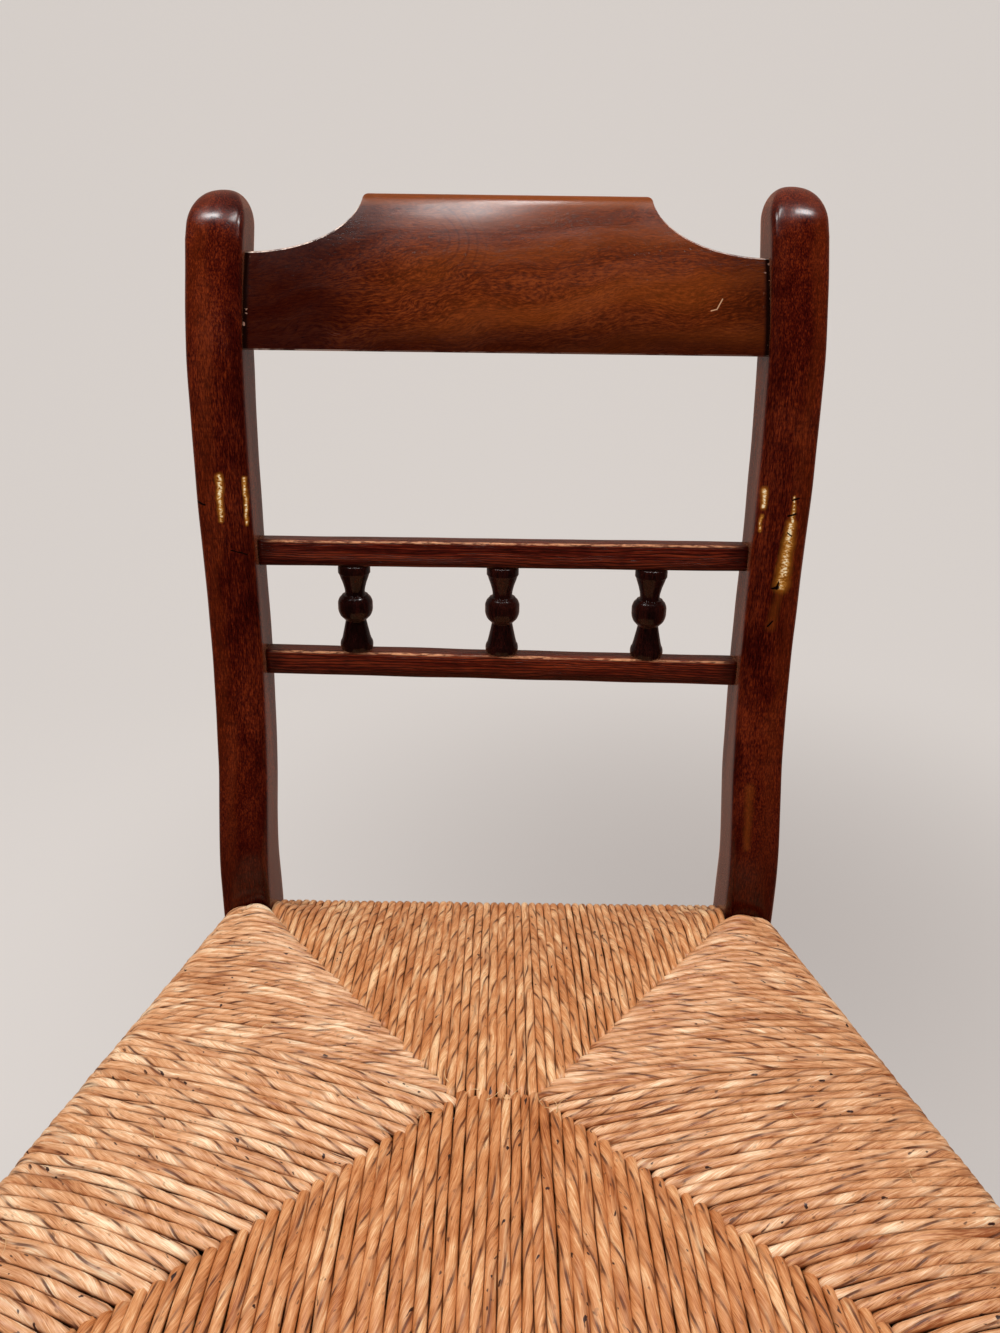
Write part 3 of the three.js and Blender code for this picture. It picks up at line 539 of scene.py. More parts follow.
# %% Spindles
SPINDLE_SPACING, SPINDLE_RADIUS, SPINDLE_SIDES = 89.4, 10.5, 40
# Radius as a share of the ball's, height as a share of the length between the rails.
SPINDLE_SHARES = [
    [0.86, 0], [0.94, 0.02], [0.96, 0.06], [0.93, 0.1], [0.87, 0.12], [0.74, 0.22],
    [0.62, 0.33], [0.6, 0.352], [0.68, 0.37], [0.9, 0.42], [1, 0.49], [1, 0.56],
    [0.91, 0.615], [0.77, 0.645], [0.74, 0.655], [0.58, 0.66], [0.57, 0.69], [0.66, 0.78],
    [0.8, 0.86], [0.87, 0.9], [0.92, 0.915], [0.92, 0.97], [0.88, 1],
]
spindle_clear = BACK_RAIL_HEIGHT / 2 + FIT_GAP
spindles = {}
for place, which in enumerate(("left", "centre", "right")):
    across = (place - 1) * SPINDLE_SPACING
    foot, head = (rail_point(level, across) for level in ("lower", "upper"))
    length = np.linalg.norm(head - foot) - 2 * spindle_clear
    foot = foot + back_axis * spindle_clear
    profile = [[r * SPINDLE_RADIUS, h * length] for r, h in SPINDLE_SHARES]
    spindles["spindle_" + which] = lathe(
        "spindle_" + which + "_finished", foot, foot + back_axis, profile, SPINDLE_SIDES, 31 + place
    )
    print("spindle", which, round(float(length), 1), "mm between the rails")

# %% [markdown]
# The front legs and the stretchers are turned as well, from shares of their length and of
# their radius. The legs stand on the lines of the two side rails, which splay out and rise
# a little towards the front.

# %% Measures of the legs and stretchers
SEAT_DEPTH, SIDE_SPLAY_SHARE, SEAT_RISE_SHARE = 340.0, 0.215, 0.044
SIDE_RAIL_DROP, RAIL_STEP, SIDE_RAIL_INSET, RAIL_RADIUS = 29.0, 15.0, 3.0, 12.0
LEG_RADIUS, LEG_HEAD = 18.0, 12.0
LEG_SHARES = [
    [0.55, 0], [0.62, 0.01], [0.72, 0.045], [0.66, 0.085], [0.56, 0.1], [0.75, 0.11],
    [0.75, 0.128], [0.6, 0.14], [0.66, 0.17], [0.8, 0.24], [0.88, 0.34], [0.9, 0.5],
    [0.9, 0.63], [0.72, 0.65], [0.98, 0.662], [0.98, 0.682], [0.74, 0.695], [0.8, 0.715],
    [0.97, 0.77], [1, 0.8], [1, 0.978], [0.92, 0.988], [0.66, 0.996], [0.3, 1],
]
STRETCHER_TENON, STRETCHER_RADIUS, TENON_SHOWN = 6.0, 9.5, 2.0
# A stretcher begins this far from a leg's axis; and how many sides the turned pieces get.
LEG_GAP, LEG_SIDES, STRETCHER_SIDES = LEG_RADIUS - 1, 56, 28
PLAIN_SHARES = [[0.74, 0.12], [0.92, 0.3], [1, 0.5], [0.92, 0.7], [0.74, 0.88]]
TURNED_SHARES = [
    [0.7, 0.08], [0.86, 0.2], [0.9, 0.3], [0.68, 0.33], [1.05, 0.345], [1.05, 0.365],
    [0.7, 0.38], [0.95, 0.42], [1.15, 0.5], [0.95, 0.58], [0.7, 0.62], [1.05, 0.635],
    [1.05, 0.655], [0.68, 0.67], [0.9, 0.7], [0.86, 0.8], [0.7, 0.92],
]
FRONT_HEIGHTS = {"upper": 270.0, "lower": 165.0}
SIDE_HEIGHTS = {"upper": 245.0, "lower": 140.0}
REAR_HEIGHT = 205.0


def side_axis(side, y):
    """The point of a side rail's axis at a depth: it splays out and rises to the front."""
    x = POST_X - SIDE_RAIL_INSET - SIDE_SPLAY_SHARE * y
    return np.array([side * x, y, -SIDE_RAIL_DROP - SEAT_RISE_SHARE * y])


def leg_point(side, height):
    """The middle of a front leg at a height above the floor."""
    return up_to(side_axis(side, -SEAT_DEPTH), height - SEAT_HEIGHT)


print("front legs", round(2 * float(leg_point(1, 0)[0])), "mm apart")

# %% [markdown]
# The legs carry a plain head, which stands a little above the rush at the two front corners.
# Stretchers run from leg to leg at set heights above the floor, thickest in the middle, with
# a tenon at each end.

# %% Front legs and stretchers
def stretcher(name, start, end, gaps, shares, seed):
    """A turned bar between two points, held back from each by its gap. The profile is the
    tenon's radius at both ends and shares of the bar's radius between."""
    axis = (end - start) / np.linalg.norm(end - start)
    start, end = start + gaps[0] * axis, end - gaps[1] * axis
    length = np.linalg.norm(end - start)
    ends = (-TENON_SHOWN, STRETCHER_TENON, length - STRETCHER_TENON, length + TENON_SHOWN)
    tenons = [[STRETCHER_TENON, place] for place in ends]
    bar = [[r * STRETCHER_RADIUS, d * length] for r, d in shares]
    return lathe(name, start, end, tenons[:2] + bar + tenons[2:], STRETCHER_SIDES, seed)


legs = {}
stretchers = {}
for side, which in ((-1, "left"), (1, "right")):
    foot = leg_point(side, 0)
    height = SEAT_HEIGHT + LEG_HEAD
    profile = [[r * LEG_RADIUS, h * height] for r, h in LEG_SHARES]
    name = "front_leg_" + which
    legs[name] = lathe(name + "_finished", foot, foot + (0, 0, 1), profile, LEG_SIDES, 41 + side)
    for level, height in SIDE_HEIGHTS.items():
        z = height - SEAT_HEIGHT
        back = np.array([side * POST_X, post_front(z), z])
        name = f"side_stretcher_{level}_{which}"
        stretchers[name] = stretcher(
            name + "_finished", leg_point(side, height), back, (LEG_GAP, 0), PLAIN_SHARES,
            51 + len(stretchers),
        )
for level, height in FRONT_HEIGHTS.items():
    name = "front_stretcher_" + level
    stretchers[name] = stretcher(
        name + "_finished", leg_point(-1, height), leg_point(1, height),
        (LEG_GAP, LEG_GAP), TURNED_SHARES, 51 + len(stretchers),
    )
z = REAR_HEIGHT - SEAT_HEIGHT
rear_ends = [np.array([side * INNER_FACE, post_middle(z), z]) for side in (-1, 1)]
stretchers["rear_stretcher"] = stretcher(
    "rear_stretcher_finished", *rear_ends, (0, 0), PLAIN_SHARES, 51 + len(stretchers)
)
print(len(legs), "front legs and", len(stretchers), "stretchers")

# %% [markdown]
# The seat is rush: leaves twisted by hand into a strand and wound over the four rails, round
# after round, from the corners to the middle. Where the strands of two rails meet they dive
# into a seam, which runs from each corner inwards; a short bridge of front-to-back strands
# closes the middle. First come the corners and the two points where seams meet.

# %% Corners and seams of the seat
STRAND = 5.0
ROLL_RADIUS = RAIL_RADIUS + STRAND
SEAM_MEETING, BRIDGE_HALF, SIDE_MEETING = 160.0, 20.0, {-1: 118.0, 1: 138.0}
SEAM_CENTRE_DROP, BACK_CORNER_DROP, FRONT_CORNER_DROP = 6.0, 19.0, 3.0
SEAM_THICKNESS, PANEL_CROWN, PANEL_BELLY = 23.0, 5.0, 3.0
# How far in front of its post each side's first strand lies.
POST_CLEAR = {-1: 1.4, 1: 7.0}
# Strands on each stretch of a rail, counted: from a back corner to the seams' meeting,
# from there to a front leg, and across the bridge.
BACK_ROUNDS, FRONT_ROUNDS, BRIDGE_STRANDS = 26, 35, 8
# How far the strands' ends in the bridge lie before or behind each other, and the step, in
# radians, that makes the order irregular; and where in the bridge the twist changes hands.
BRIDGE_JOG, JOG_STEP, TWIST_CHANGE = 1.8, 2.6, 0.9


def between(a, b, share):
    """The points at shares of the way from a to b, one row for each share."""
    return a + np.asarray(share, float)[:, None] * (b - a)


def shared_out(low, high, count):
    """The middles of count equal parts of the stretch from low to high."""
    return low + (high - low) * (np.arange(count) + 0.5) / count


leg_axis = {side: side_axis(side, -SEAT_DEPTH) for side in (-1, 1)}
apex = {
    side: np.array([side * BRIDGE_HALF, -SEAM_MEETING, -SEAM_CENTRE_DROP]) for side in (-1, 1)
}
back_corner = {
    side: np.array([side * CREST_END, -FIT_GAP, -BACK_CORNER_DROP]) for side in (-1, 1)
}
front_corner = {side: up_to(leg_axis[side], -FRONT_CORNER_DROP) for side in (-1, 1)}
leg_clear = LEG_RADIUS + STRAND / 2
print("seams meet", SEAM_MEETING, "mm in front of the posts,", 2 * BRIDGE_HALF, "mm apart")

# %% [markdown]
# A strand is a path in an upright plane: from the seam up over the rail, round it, and back
# below. So two points say where it runs, one on the rail's axis and one on the seam. All
# strands of a panel are worked out together, as arrays with one row for each strand.

# %% Where the strands run
def side_strands(side):
    """Rail points, seam points and twist of a side panel's strands, from back to front, and
    whether each ends on top of its seam: the front ones do, the back ones tuck under."""
    meeting = SIDE_MEETING[side] / SEAT_DEPTH
    back = shared_out(POST_CLEAR[side] / SEAT_DEPTH, meeting, BACK_ROUNDS)
    front = shared_out(meeting, 1 - leg_clear / SEAT_DEPTH, FRONT_ROUNDS)
    rail = between(side_axis(side, -FIT_GAP), leg_axis[side], np.append(back, front))
    seam_back = between(back_corner[side], apex[side], back / meeting)
    seam_front = between(apex[side], front_corner[side], (front - meeting) / (1 - meeting))
    twist = np.append(np.full(BACK_ROUNDS, side), np.full(FRONT_ROUNDS, -side))
    on_top = np.append(np.full(BACK_ROUNDS, False), np.full(FRONT_ROUNDS, True))
    return rail, np.concatenate([seam_back, seam_front]), twist, on_top


def across_strands(start, end, corner, rounds, clear, on_top):
    """The same for a panel whose rail runs across the chair, from left to right. The strand
    is twisted one way up to the right end of the bridge, and the other way past it. In the
    bridge the blunt front strands lie on top, and the pointed back ones go between them."""
    half = end[0]
    edge, bridge = (half - clear) / half, BRIDGE_HALF / half
    arm = shared_out(bridge, edge, rounds)
    middle = shared_out(-bridge, bridge, BRIDGE_STRANDS)
    x = np.concatenate([-arm[::-1], middle, arm])
    rail = between(start, end, (x + 1) / 2)
    reach = np.clip((np.abs(x) - bridge) / (1 - bridge), 0, 1)
    left, right = (between(apex[s], corner[s], reach) for s in (-1, 1))
    share = np.clip((x / bridge + 1) / 2, 0, 1)
    span = between(apex[-1], apex[1], share)
    span[:, 0] += 0 if on_top else BRIDGE_HALF / BRIDGE_STRANDS * np.sin(np.pi * share)
    span[:, 1] += BRIDGE_JOG * np.sin(JOG_STEP * np.arange(len(x)))
    seam = np.where((x < -bridge)[:, None], left, np.where((x > bridge)[:, None], right, span))
    above = np.where(np.abs(x) < bridge, not on_top, on_top)
    return rail, seam, np.where(x < TWIST_CHANGE * bridge, 1, -1), above


back_rail_y = post_middle(-SIDE_RAIL_DROP - RAIL_STEP)
back_rail_ends = [
    np.array([side * INNER_FACE, back_rail_y, -SIDE_RAIL_DROP - RAIL_STEP]) for side in (-1, 1)
]
front_rail_ends = [leg_axis[side] - (0, 0, RAIL_STEP) for side in (-1, 1)]
panels = {
    "left": side_strands(-1),
    "right": side_strands(1),
    "back": across_strands(*back_rail_ends, back_corner, BACK_ROUNDS, 2 * FIT_GAP, True),
    "front": across_strands(*front_rail_ends, front_corner, FRONT_ROUNDS, leg_clear, False),
}
print("strands", {name: len(lines[0]) for name, lines in panels.items()})

# %% [markdown]
# The path of a strand is taut over the rail and a little crowned between rail and seam,
# because the stuffing below lifts it. At a seam, a strand that ends on top rounds off and
# dives late; one that ends under the others sinks early.

# %% The path of a strand
TOP_STEPS, WRAP_STEPS, UNDER_STEPS = 88, 16, 20
# Reach past the seam, its spread, depth of the dive, its length and its power.
TIP_ON_TOP = (2.9, 1.5, 4.2, 5.0, 3.5)
TIP_UNDER = (3.4, 0.8, 5.2, 9.0, 2.0)


def strand_paths(rail, seam, on_top, spread_draws):
    """Middles (strand, step, 3) from the upper seam over the rail to the lower seam, the
    inward way of each strand, the distance run and the share of the way to the seam.
    Heights go evenly from rail to seam with a sine for the crown; the wrap is a half
    circle; each tip dives by a power of its nearness to the end."""
    inwards = (seam - rail) * (1, 1, 0)
    reach = np.linalg.norm(inwards, axis=1)[:, None]
    inwards = (inwards / reach)[:, None, :]
    half = STRAND / 2
    tip = np.where(on_top[:, None], TIP_ON_TOP, TIP_UNDER)
    tip_reach, tip_spread, tip_drop, tip_length, tip_power = tip.T[..., None]
    past = 1 + (tip_reach + tip_spread * spread_draws[:, None]) / reach
    even = np.linspace(1, 0, TOP_STEPS)
    over = past * (even + 1 - (1 - even) ** 2) / 2
    below = past * np.linspace(0, 1, UNDER_STEPS + 1)[1:]
    rail_z, seam_z = rail[:, 2:], seam[:, 2:]

    def height(t, lift, end_z, bulge):
        """Height along a layer, before its tip sinks."""
        return (rail_z + lift) * (1 - t) + end_z * t + bulge * np.sin(np.pi * np.clip(t, 0, 1))

    top_z = height(over, ROLL_RADIUS, seam_z, PANEL_CROWN) - half
    low_z = height(below, -ROLL_RADIUS, seam_z - SEAM_THICKNESS, -PANEL_BELLY) + half
    for t, z, sign in ((over, top_z, -1), (below, low_z, 1)):
        left = np.clip((past - t) * reach / tip_length, 0, 1)
        z += sign * tip_drop * (1 - left) ** tip_power
    turn = np.linspace(np.pi / 2, -np.pi / 2, WRAP_STEPS + 2)[1:-1]
    wrap = RAIL_RADIUS + half
    around_rail = np.broadcast_to(-wrap * np.cos(turn), (len(rail), WRAP_STEPS))
    out = np.concatenate([over * reach, around_rail, below * reach], 1)
    middle = up_to(rail[:, None, :] + out[..., None] * inwards, 0)
    middle[..., 2] = np.concatenate([top_z, rail_z + wrap * np.sin(turn), low_z], 1)
    run = np.cumsum(np.linalg.norm(np.diff(middle, axis=1, prepend=middle[:, :1]), axis=2), 1)
    return middle, inwards, run, np.clip(out / reach, 0, 1)


def strand_widths(rail, seam, across, inward_share):
    """Half the space that each strand has between its neighbours, at each of its steps."""
    at_rail, at_seam = (
        np.abs(np.einsum("ij,ij->i", np.gradient(ends, axis=0), across[:, 0]))[:, None]
        for ends in (rail, seam)
    )
    return (at_rail * (1 - inward_share) + at_seam * inward_share) / 2


reach = {name: np.linalg.norm(lines[1] - lines[0], axis=1).max() for name, lines in panels.items()}
print("longest way from rail to seam", {name: round(float(far)) for name, far in reach.items()})

# %% [markdown]
# A strand is a couple of flat leaves rolled round each other. It is nearly round, pressed
# against its neighbours, and the edge of one leaf lies over the next, which leaves a fine
# crease that winds along it. So the radius starts as an ellipse as wide as the space that
# the strand has, dips a little where two leaves meet, and grows slowly across each leaf up
# to its edge. Thickness, pitch and colour wander along each strand, because no two leaves
# are alike. The attributes carry what the material needs: the distance run along the
# strand with the angle on its leaves, the strand's own tone with its panel's painted light
# and shade, and how far a point lies down its flank, where the material paints shade.

# %% Strands of rush
STRAND_SIDES, TWIST_PITCH = 10, (40.0, 76.0)
DIP_SHARE, EDGE_SHARE, WIDTH_SHARE = 0.045, 0.04, 1.03
# How far a strand sways and heaves in millimetres, and its twist wanders in radians; how
# far its width differs along it and between strands, and its dip wanders; how far its tone
# does the same; and the most that a tip's reach is drawn from the mean.
SWAY, HEAVE, TWIST_WANDER = 0.4, 0.25, 1.2
WIDTH_WANDER, WIDTH_DRAW, DIP_WANDER = 0.08, 0.04, 0.6
TONE_WANDER, TONE_DRAW, REACH_LIMIT = 0.6, 0.5, 1.8
# The length over which a tip narrows, and in the bridge, the width left at its end, and
# how dark the painted shade at the end is and over what length.
TIP_TAPER, BRIDGE_TAPER, TIP_LEFT, TIP_SHADE, TIP_SHADED = 5.0, 14.0, 0.25, 0.9, 4.5
# How much paler than plain rush each panel's leaves are, before they wander: painted light and
# shade, set for each panel.
PANEL_PAINTED_LIGHT = {"left": 0.6, "right": -0.4, "back": 1.2, "front": 0.2}
# How far one strand's pattern is moved along from the next, so that no two are alike.
PATTERN_SHIFT = 900.0


def strand_panel(name, rail, seam, twist, on_top, painted_light_shift, seed):
    """All strands of one panel as a single mesh of tubes with closed, tapered tips."""
    rng = np.random.default_rng(seed)
    count = len(rail)
    spread_draws = np.clip(rng.normal(0, 1, count), -REACH_LIMIT, REACH_LIMIT)
    middle, inwards, run, inward_share = strand_paths(rail, seam, on_top, spread_draws)
    across = np.cross((0, 0, 1), inwards[:, 0])[:, None, :]
    shift = rng.random(count)[:, None] * PATTERN_SHIFT
    way = run + shift
    middle += across * (SWAY * waves(way, seed + 1, (40, 150), 5))[..., None]
    middle[..., 2] += HEAVE * waves(way, seed + 6, (30, 90), 4)
    tangent = np.gradient(middle, axis=1)
    tangent /= np.linalg.norm(tangent, axis=2, keepdims=True)
    normal = np.cross(tangent, across)
    normal /= np.linalg.norm(normal, axis=2, keepdims=True)

    pitch = rng.uniform(*TWIST_PITCH, count)[:, None]
    turn = twist[:, None] * 2 * np.pi * (run / pitch + rng.random(count)[:, None])
    turn += TWIST_WANDER * waves(way, seed + 2, (30, 110), 5)
    angle = np.linspace(0, 2 * np.pi, STRAND_SIDES, endpoint=False)
    lay = angle - turn[..., None]
    from_end = np.minimum(run, run[:, -1:] - run)
    uneven = 1 + WIDTH_WANDER * waves(way, seed + 3, (16, 60), 6)
    uneven += rng.normal(0, WIDTH_DRAW, count)[:, None]
    in_bridge = (np.abs(seam[:, 0]) < BRIDGE_HALF) & ~on_top
    end = np.clip(from_end / np.where(in_bridge, BRIDGE_TAPER, TIP_TAPER)[:, None], 0, 1)
    uneven *= TIP_LEFT + (1 - TIP_LEFT) * np.sqrt(1 - (1 - end) ** 2)
    dip = DIP_SHARE * (1 + DIP_WANDER * waves(way, seed + 4, (12, 40), 6))[..., None]
    over_leaf = lay / np.pi - np.floor(lay / np.pi)
    shape = uneven[..., None] * (1 - dip * np.cos(2 * lay) + EDGE_SHARE * (over_leaf - 0.5))
    wide = WIDTH_SHARE * strand_widths(rail, seam, across, inward_share)[..., None] * shape
    thick = STRAND / 2 * shape
    ring = (wide * np.cos(angle))[..., None] * across[:, :, None]
    ring = ring + (thick * np.sin(angle))[..., None] * normal[:, :, None]
    rings = middle[:, :, None] + ring

    along = np.broadcast_to(way[..., None], lay.shape)
    place = np.stack([along, STRAND / 2 * np.cos(lay), STRAND / 2 * np.sin(lay)], -1)
    tone = rng.normal(0, TONE_DRAW, count)[:, None]
    tone = tone + TONE_WANDER * waves(way, seed + 5, (25, 120), 6) + painted_light_shift
    tone = np.broadcast_to(tone[..., None], lay.shape)
    # Painted shade: each tip darkens towards its end, and flank grows down each strand's sides.
    painted_tip_shade = TIP_SHADE * (1 - np.clip(from_end / TIP_SHADED, 0, 1))
    flank = np.maximum(1 + np.minimum(np.sin(angle), 0), painted_tip_shade[..., None])
    attributes = {"lay": with_hubs(place) / 1000, "tone": with_hubs(tone)}
    attributes["flank"] = with_hubs(flank)
    return new_piece(name, to_frame(with_hubs(rings)), tube_faces(*lay.shape), attributes)


rush_pieces = {}
for order, (name, lines) in enumerate(panels.items()):
    # Each panel's tone shift is painted light and shade.
    lines = (*lines, PANEL_PAINTED_LIGHT[name], 70 + 10 * order)
    rush_pieces[name] = strand_panel("rush_strands_" + name, *lines)
    print("rush", name, len(rush_pieces[name].data.polygons), "faces")

# %% [markdown]
# Between the upper and lower strands the maker pushes handfuls of loose rush, which fill
# the panels out. None of it shows, but the piece is there when the seat is taken apart, so
# each pocket gets a lumpy pad with a crowned top and bottom.

# %% Stuffing
PAD_MARGIN, PAD_END, PAD_SKIN, PAD_POINTS = 8.0, 34.0, 1.0, 44
# The room left beside the rail and at the seam, the height of the lumps as a share, and
# the powers that keep the pad's edges and its two ends full.
RAIL_ROOM, SEAM_ROOM, PAD_LUMPS, EDGE_POWER, END_POWER = 1.5, 1.0, 0.08, 0.5, 0.25


def stuffing_pad(name, rail, seam, seed):
    """A closed pad in one panel's pocket. Across it, rings run from the rail to the seam
    along the top and back below; the top and bottom keep one strand inside the rush and
    meet in rounded edges, and soft waves make them lumpy."""
    inwards = (seam - rail) * (1, 1, 0)
    reach = np.linalg.norm(inwards, axis=1)
    inwards /= reach[:, None]
    length = np.linalg.norm(rail - rail[0], axis=1)
    inside = (length > PAD_END) & (length < length[-1] - PAD_END)
    inside &= reach > RAIL_RADIUS + 2 * PAD_MARGIN
    rail, seam, inwards, reach = rail[inside], seam[inside], inwards[inside], reach[inside]
    near = RAIL_RADIUS + RAIL_ROOM
    far = np.maximum(reach - PAD_MARGIN - SEAM_ROOM, RAIL_RADIUS + PAD_MARGIN)
    turn = np.linspace(0, 2 * np.pi, PAD_POINTS, endpoint=False)
    ease = (1 - np.cos(turn)) / 2
    out = near + (far[:, None] - near) * ease
    t = out / reach[:, None]
    bulge = np.sin(np.pi * t)
    top = (rail[:, 2:] + ROLL_RADIUS) * (1 - t) + seam[:, 2:] * t + PANEL_CROWN * bulge
    low = (rail[:, 2:] - ROLL_RADIUS) * (1 - t) + (seam[:, 2:] - SEAM_THICKNESS) * t
    low -= PANEL_BELLY * bulge
    middle, half = (top + low) / 2, (top - low) / 2 - STRAND - PAD_SKIN
    full = np.sign(np.sin(turn)) * np.abs(np.sin(turn)) ** EDGE_POWER
    places = out + 3 * rail[:, :1] + 2 * rail[:, 1:2]
    lumps = 1 - PAD_LUMPS * (1 + waves(places, seed, (18, 60), 6))
    ends = np.sin(np.pi * shared_out(0, 1, len(rail)))[:, None] ** END_POWER
    rings = rail[:, None, :] + out[..., None] * inwards[:, None, :]
    rings[..., 2] = middle + half * full * lumps * ends
    return skin(name, rings, rings)


pads = {
    name: stuffing_pad("loose_rush_" + name, *lines[:2], 111 + order)
    for order, (name, lines) in enumerate(panels.items())
}
print("pads", {name: len(pad.data.vertices) for name, pad in pads.items()})

# %% [markdown]
# A used rush seat sheds a few fibres: split ends that curl up out of the seams and along the
# edges. Each is a thin tube whose path starts flat, then bends up in a random curl.

# %% Curls of fibre
FIBRE_RADIUS, FIBRE_TAPER, FIBRE_STEPS, FIBRE_SIDES = 0.22, 0.7, 14, 5
# The least and the greatest length, bend in radians and rise; FIBRE_FALL is the angle at
# which the rise's sine ends.
FIBRE_LENGTHS, FIBRE_BENDS, FIBRE_RISES, FIBRE_FALL = (5, 11), (-2.6, 2.6), (0.8, 3.2), 2.6
# The panels with fibres: the share of the way inwards where they start, and how many.
FRAYED = (("front", 0.97, 9), ("back", 0.98, 4), ("left", 0.5, 6), ("right", 0.4, 8))


def seat_height_at(panel, strand, t):
    """The rush's upper surface on one strand of a panel, at a share of the way inwards."""
    rail, seam = panels[panel][:2]
    point = rail[strand] + t * (seam[strand] - rail[strand])
    z = (rail[strand, 2] + ROLL_RADIUS) * (1 - t) + seam[strand, 2] * t
    return np.array([point[0], point[1], z + PANEL_CROWN * math.sin(math.pi * t)])


def curls(starts, seed):
    """Tubes from each start: the heading turns by a steady amount at each step, and the
    height follows a sine, so a fibre leaves the seat and comes back to it."""
    rng = np.random.default_rng(seed)
    count = len(starts)
    length = rng.uniform(*FIBRE_LENGTHS, count)[:, None]
    heading = rng.uniform(0, 6.3, count)[:, None]
    bend = rng.uniform(*FIBRE_BENDS, count)[:, None]
    share = np.linspace(0, 1, FIBRE_STEPS)
    way = heading + bend * share
    step = length / FIBRE_STEPS
    x = np.cumsum(np.cos(way) * step, 1)
    y = np.cumsum(np.sin(way) * step, 1)
    z = rng.uniform(*FIBRE_RISES, count)[:, None] * np.sin(share * FIBRE_FALL)
    middle = starts[:, None, :] + np.stack([x, y, z], -1)
    tangent = np.gradient(middle, axis=1)
    tangent /= np.linalg.norm(tangent, axis=2, keepdims=True)
    side = np.cross(tangent, (0, 0, 1))
    side /= np.linalg.norm(side, axis=2, keepdims=True)
    normal = np.cross(side, tangent)
    angle = np.linspace(0, 2 * np.pi, FIBRE_SIDES, endpoint=False)
    radius = FIBRE_RADIUS * (1 - FIBRE_TAPER * share)[:, None, None]
    turn, rise = np.cos(angle)[:, None], np.sin(angle)[:, None]
    return middle[:, :, None] + radius * (turn * side[:, :, None] + rise * normal[:, :, None])


print("a fibre has", FIBRE_STEPS * FIBRE_SIDES, "points on its rings")

# %% [markdown]
# Most fibres stand up in the middle of the seat, where the panels' last strands meet, and
# the others along the side panels.

# %% Frayed fibres
fibre_rng = np.random.default_rng(131)
fibre_starts = []
for panel, share, amount in FRAYED:
    count, at_seam = len(panels[panel][0]), share > 0.9
    strands = fibre_rng.integers(0, count, amount)
    if at_seam:
        strands = count // 2 + fibre_rng.integers(-8, 6, amount)
    for strand in strands:
        nearer = fibre_rng.uniform(-0.35, 0.02) * (not at_seam)
        fibre_starts.append(seat_height_at(panel, int(strand), share + nearer))
fibre_rings = curls(np.array(fibre_starts), 132)
fibre_points, fibre_faces = to_frame(with_hubs(fibre_rings)), tube_faces(*fibre_rings.shape[:3])
fibres = new_piece("rush_frayed_fibres", fibre_points, fibre_faces)
print("frayed fibres", len(fibre_starts))

# %% [markdown]
# Materials come next. A material is a small network of nodes, and a network written node by
# node hides what it draws. So one class stands for the value that a node gives out: adding,
# multiplying, spreading or drawing a noise from such values adds the nodes, and a pattern
# reads as its formula does.

# %% Helpers for materials
class Value:
    """A number, a colour, a place or a surface that a node gives out."""

    def __init__(self, socket):
        self.socket, self.tree = socket, socket.id_data

    def maths(self, operation, *others):
        """One arithmetic step on this number and the others."""
        return add(self.tree, "Math", dict(enumerate((self, *others))), operation=operation)

    def __add__(self, other):
        return self.maths("ADD", other)

    def __sub__(self, other):
        return self.maths("SUBTRACT", other)

    def __mul__(self, other):
        return self.maths("MULTIPLY", other)

    def __truediv__(self, other):
        return self.maths("DIVIDE", other)

    def spread(self, low, high, to_low=0.0, to_high=1.0):
        """The number mapped from low..high to another range, with soft ends."""
        ends = {"From Min": low, "From Max": high, "To Min": to_low, "To Max": to_high}
        return add(self.tree, "MapRange", {"Value": self} | ends, interpolation_type="SMOOTHSTEP")

    def ramp(self, *stops):
        """A colour for each number, between stops of (position, colour)."""
        colour = add(self.tree, "ValToRGB", {"Fac": self})
        elements = colour.socket.node.color_ramp.elements
        while len(elements) < len(stops):
            elements.new(1.0)
        for element, (position, tint) in zip(elements, stops):
            element.position = position
            element.color = tint
        return colour

    def vector(self, operation, other, output=0):
        """One step on this place and another, such as the distance between them."""
        return add(self.tree, "VectorMath", {0: self, 1: other}, output, operation=operation)

    def parts(self):
        """The X, the Y and the Z of this place."""
        node = add(self.tree, "SeparateXYZ", {0: self}).socket.node
        return [Value(socket) for socket in node.outputs]

    def noise(self, scale, detail=3.0, roughness=0.55, distortion=0.0):
        """A noise at this place, whose three axes are scaled first: few cycles along the
        fibres and many across them make streaks."""
        drawn = add(self.tree, "Mapping", {"Vector": self, "Scale": scale})
        inputs = {"Vector": drawn, "Scale": 1.0, "Detail": detail}
        inputs |= {"Roughness": roughness, "Distortion": distortion}
        return add(self.tree, "TexNoise", inputs, "Fac")


def add(tree, kind, inputs=(), output=0, **settings):
    """What a new shader node gives out, by the output's name or number. Inputs map a
    socket's name or number to a constant, or to another node's value, which is linked."""
    node = tree.nodes.new("ShaderNode" + kind)
    for key, value in settings.items():
        setattr(node, key, value)
    for key, value in dict(inputs).items():
        if isinstance(value, Value):
            tree.links.new(value.socket, node.inputs[key])
        else:
            node.inputs[key].default_value = value
    return Value(node.outputs[output])


def stored(tree, name, output="Fac"):
    """What the mesh stores under a name: Fac for one number, Vector for three."""
    return add(tree, "Attribute", (), output, attribute_name=name)


print("a node's value can", [step for step in vars(Value) if not step.startswith("_")])

# %% [markdown]
# Colours are written as they look on screen. Most finishes are one colour with others laid
# over it in turn, each only where something says so: where a hand has rubbed, where a pore
# is cut, where dirt has gathered. At the end one shader closes the material, with a bump
# for what is too fine to model.

# %% Colours and the closing of a material
def linear(red, green, blue):
    """A colour given as it looks on screen (0 to 255) in the linear values that nodes use."""
    share = np.array([red, green, blue]) / 255
    low, high = share / 12.92, ((share + 0.055) / 1.055) ** 2.4
    return tuple(np.where(share <= 0.04045, low, high)) + (1.0,)


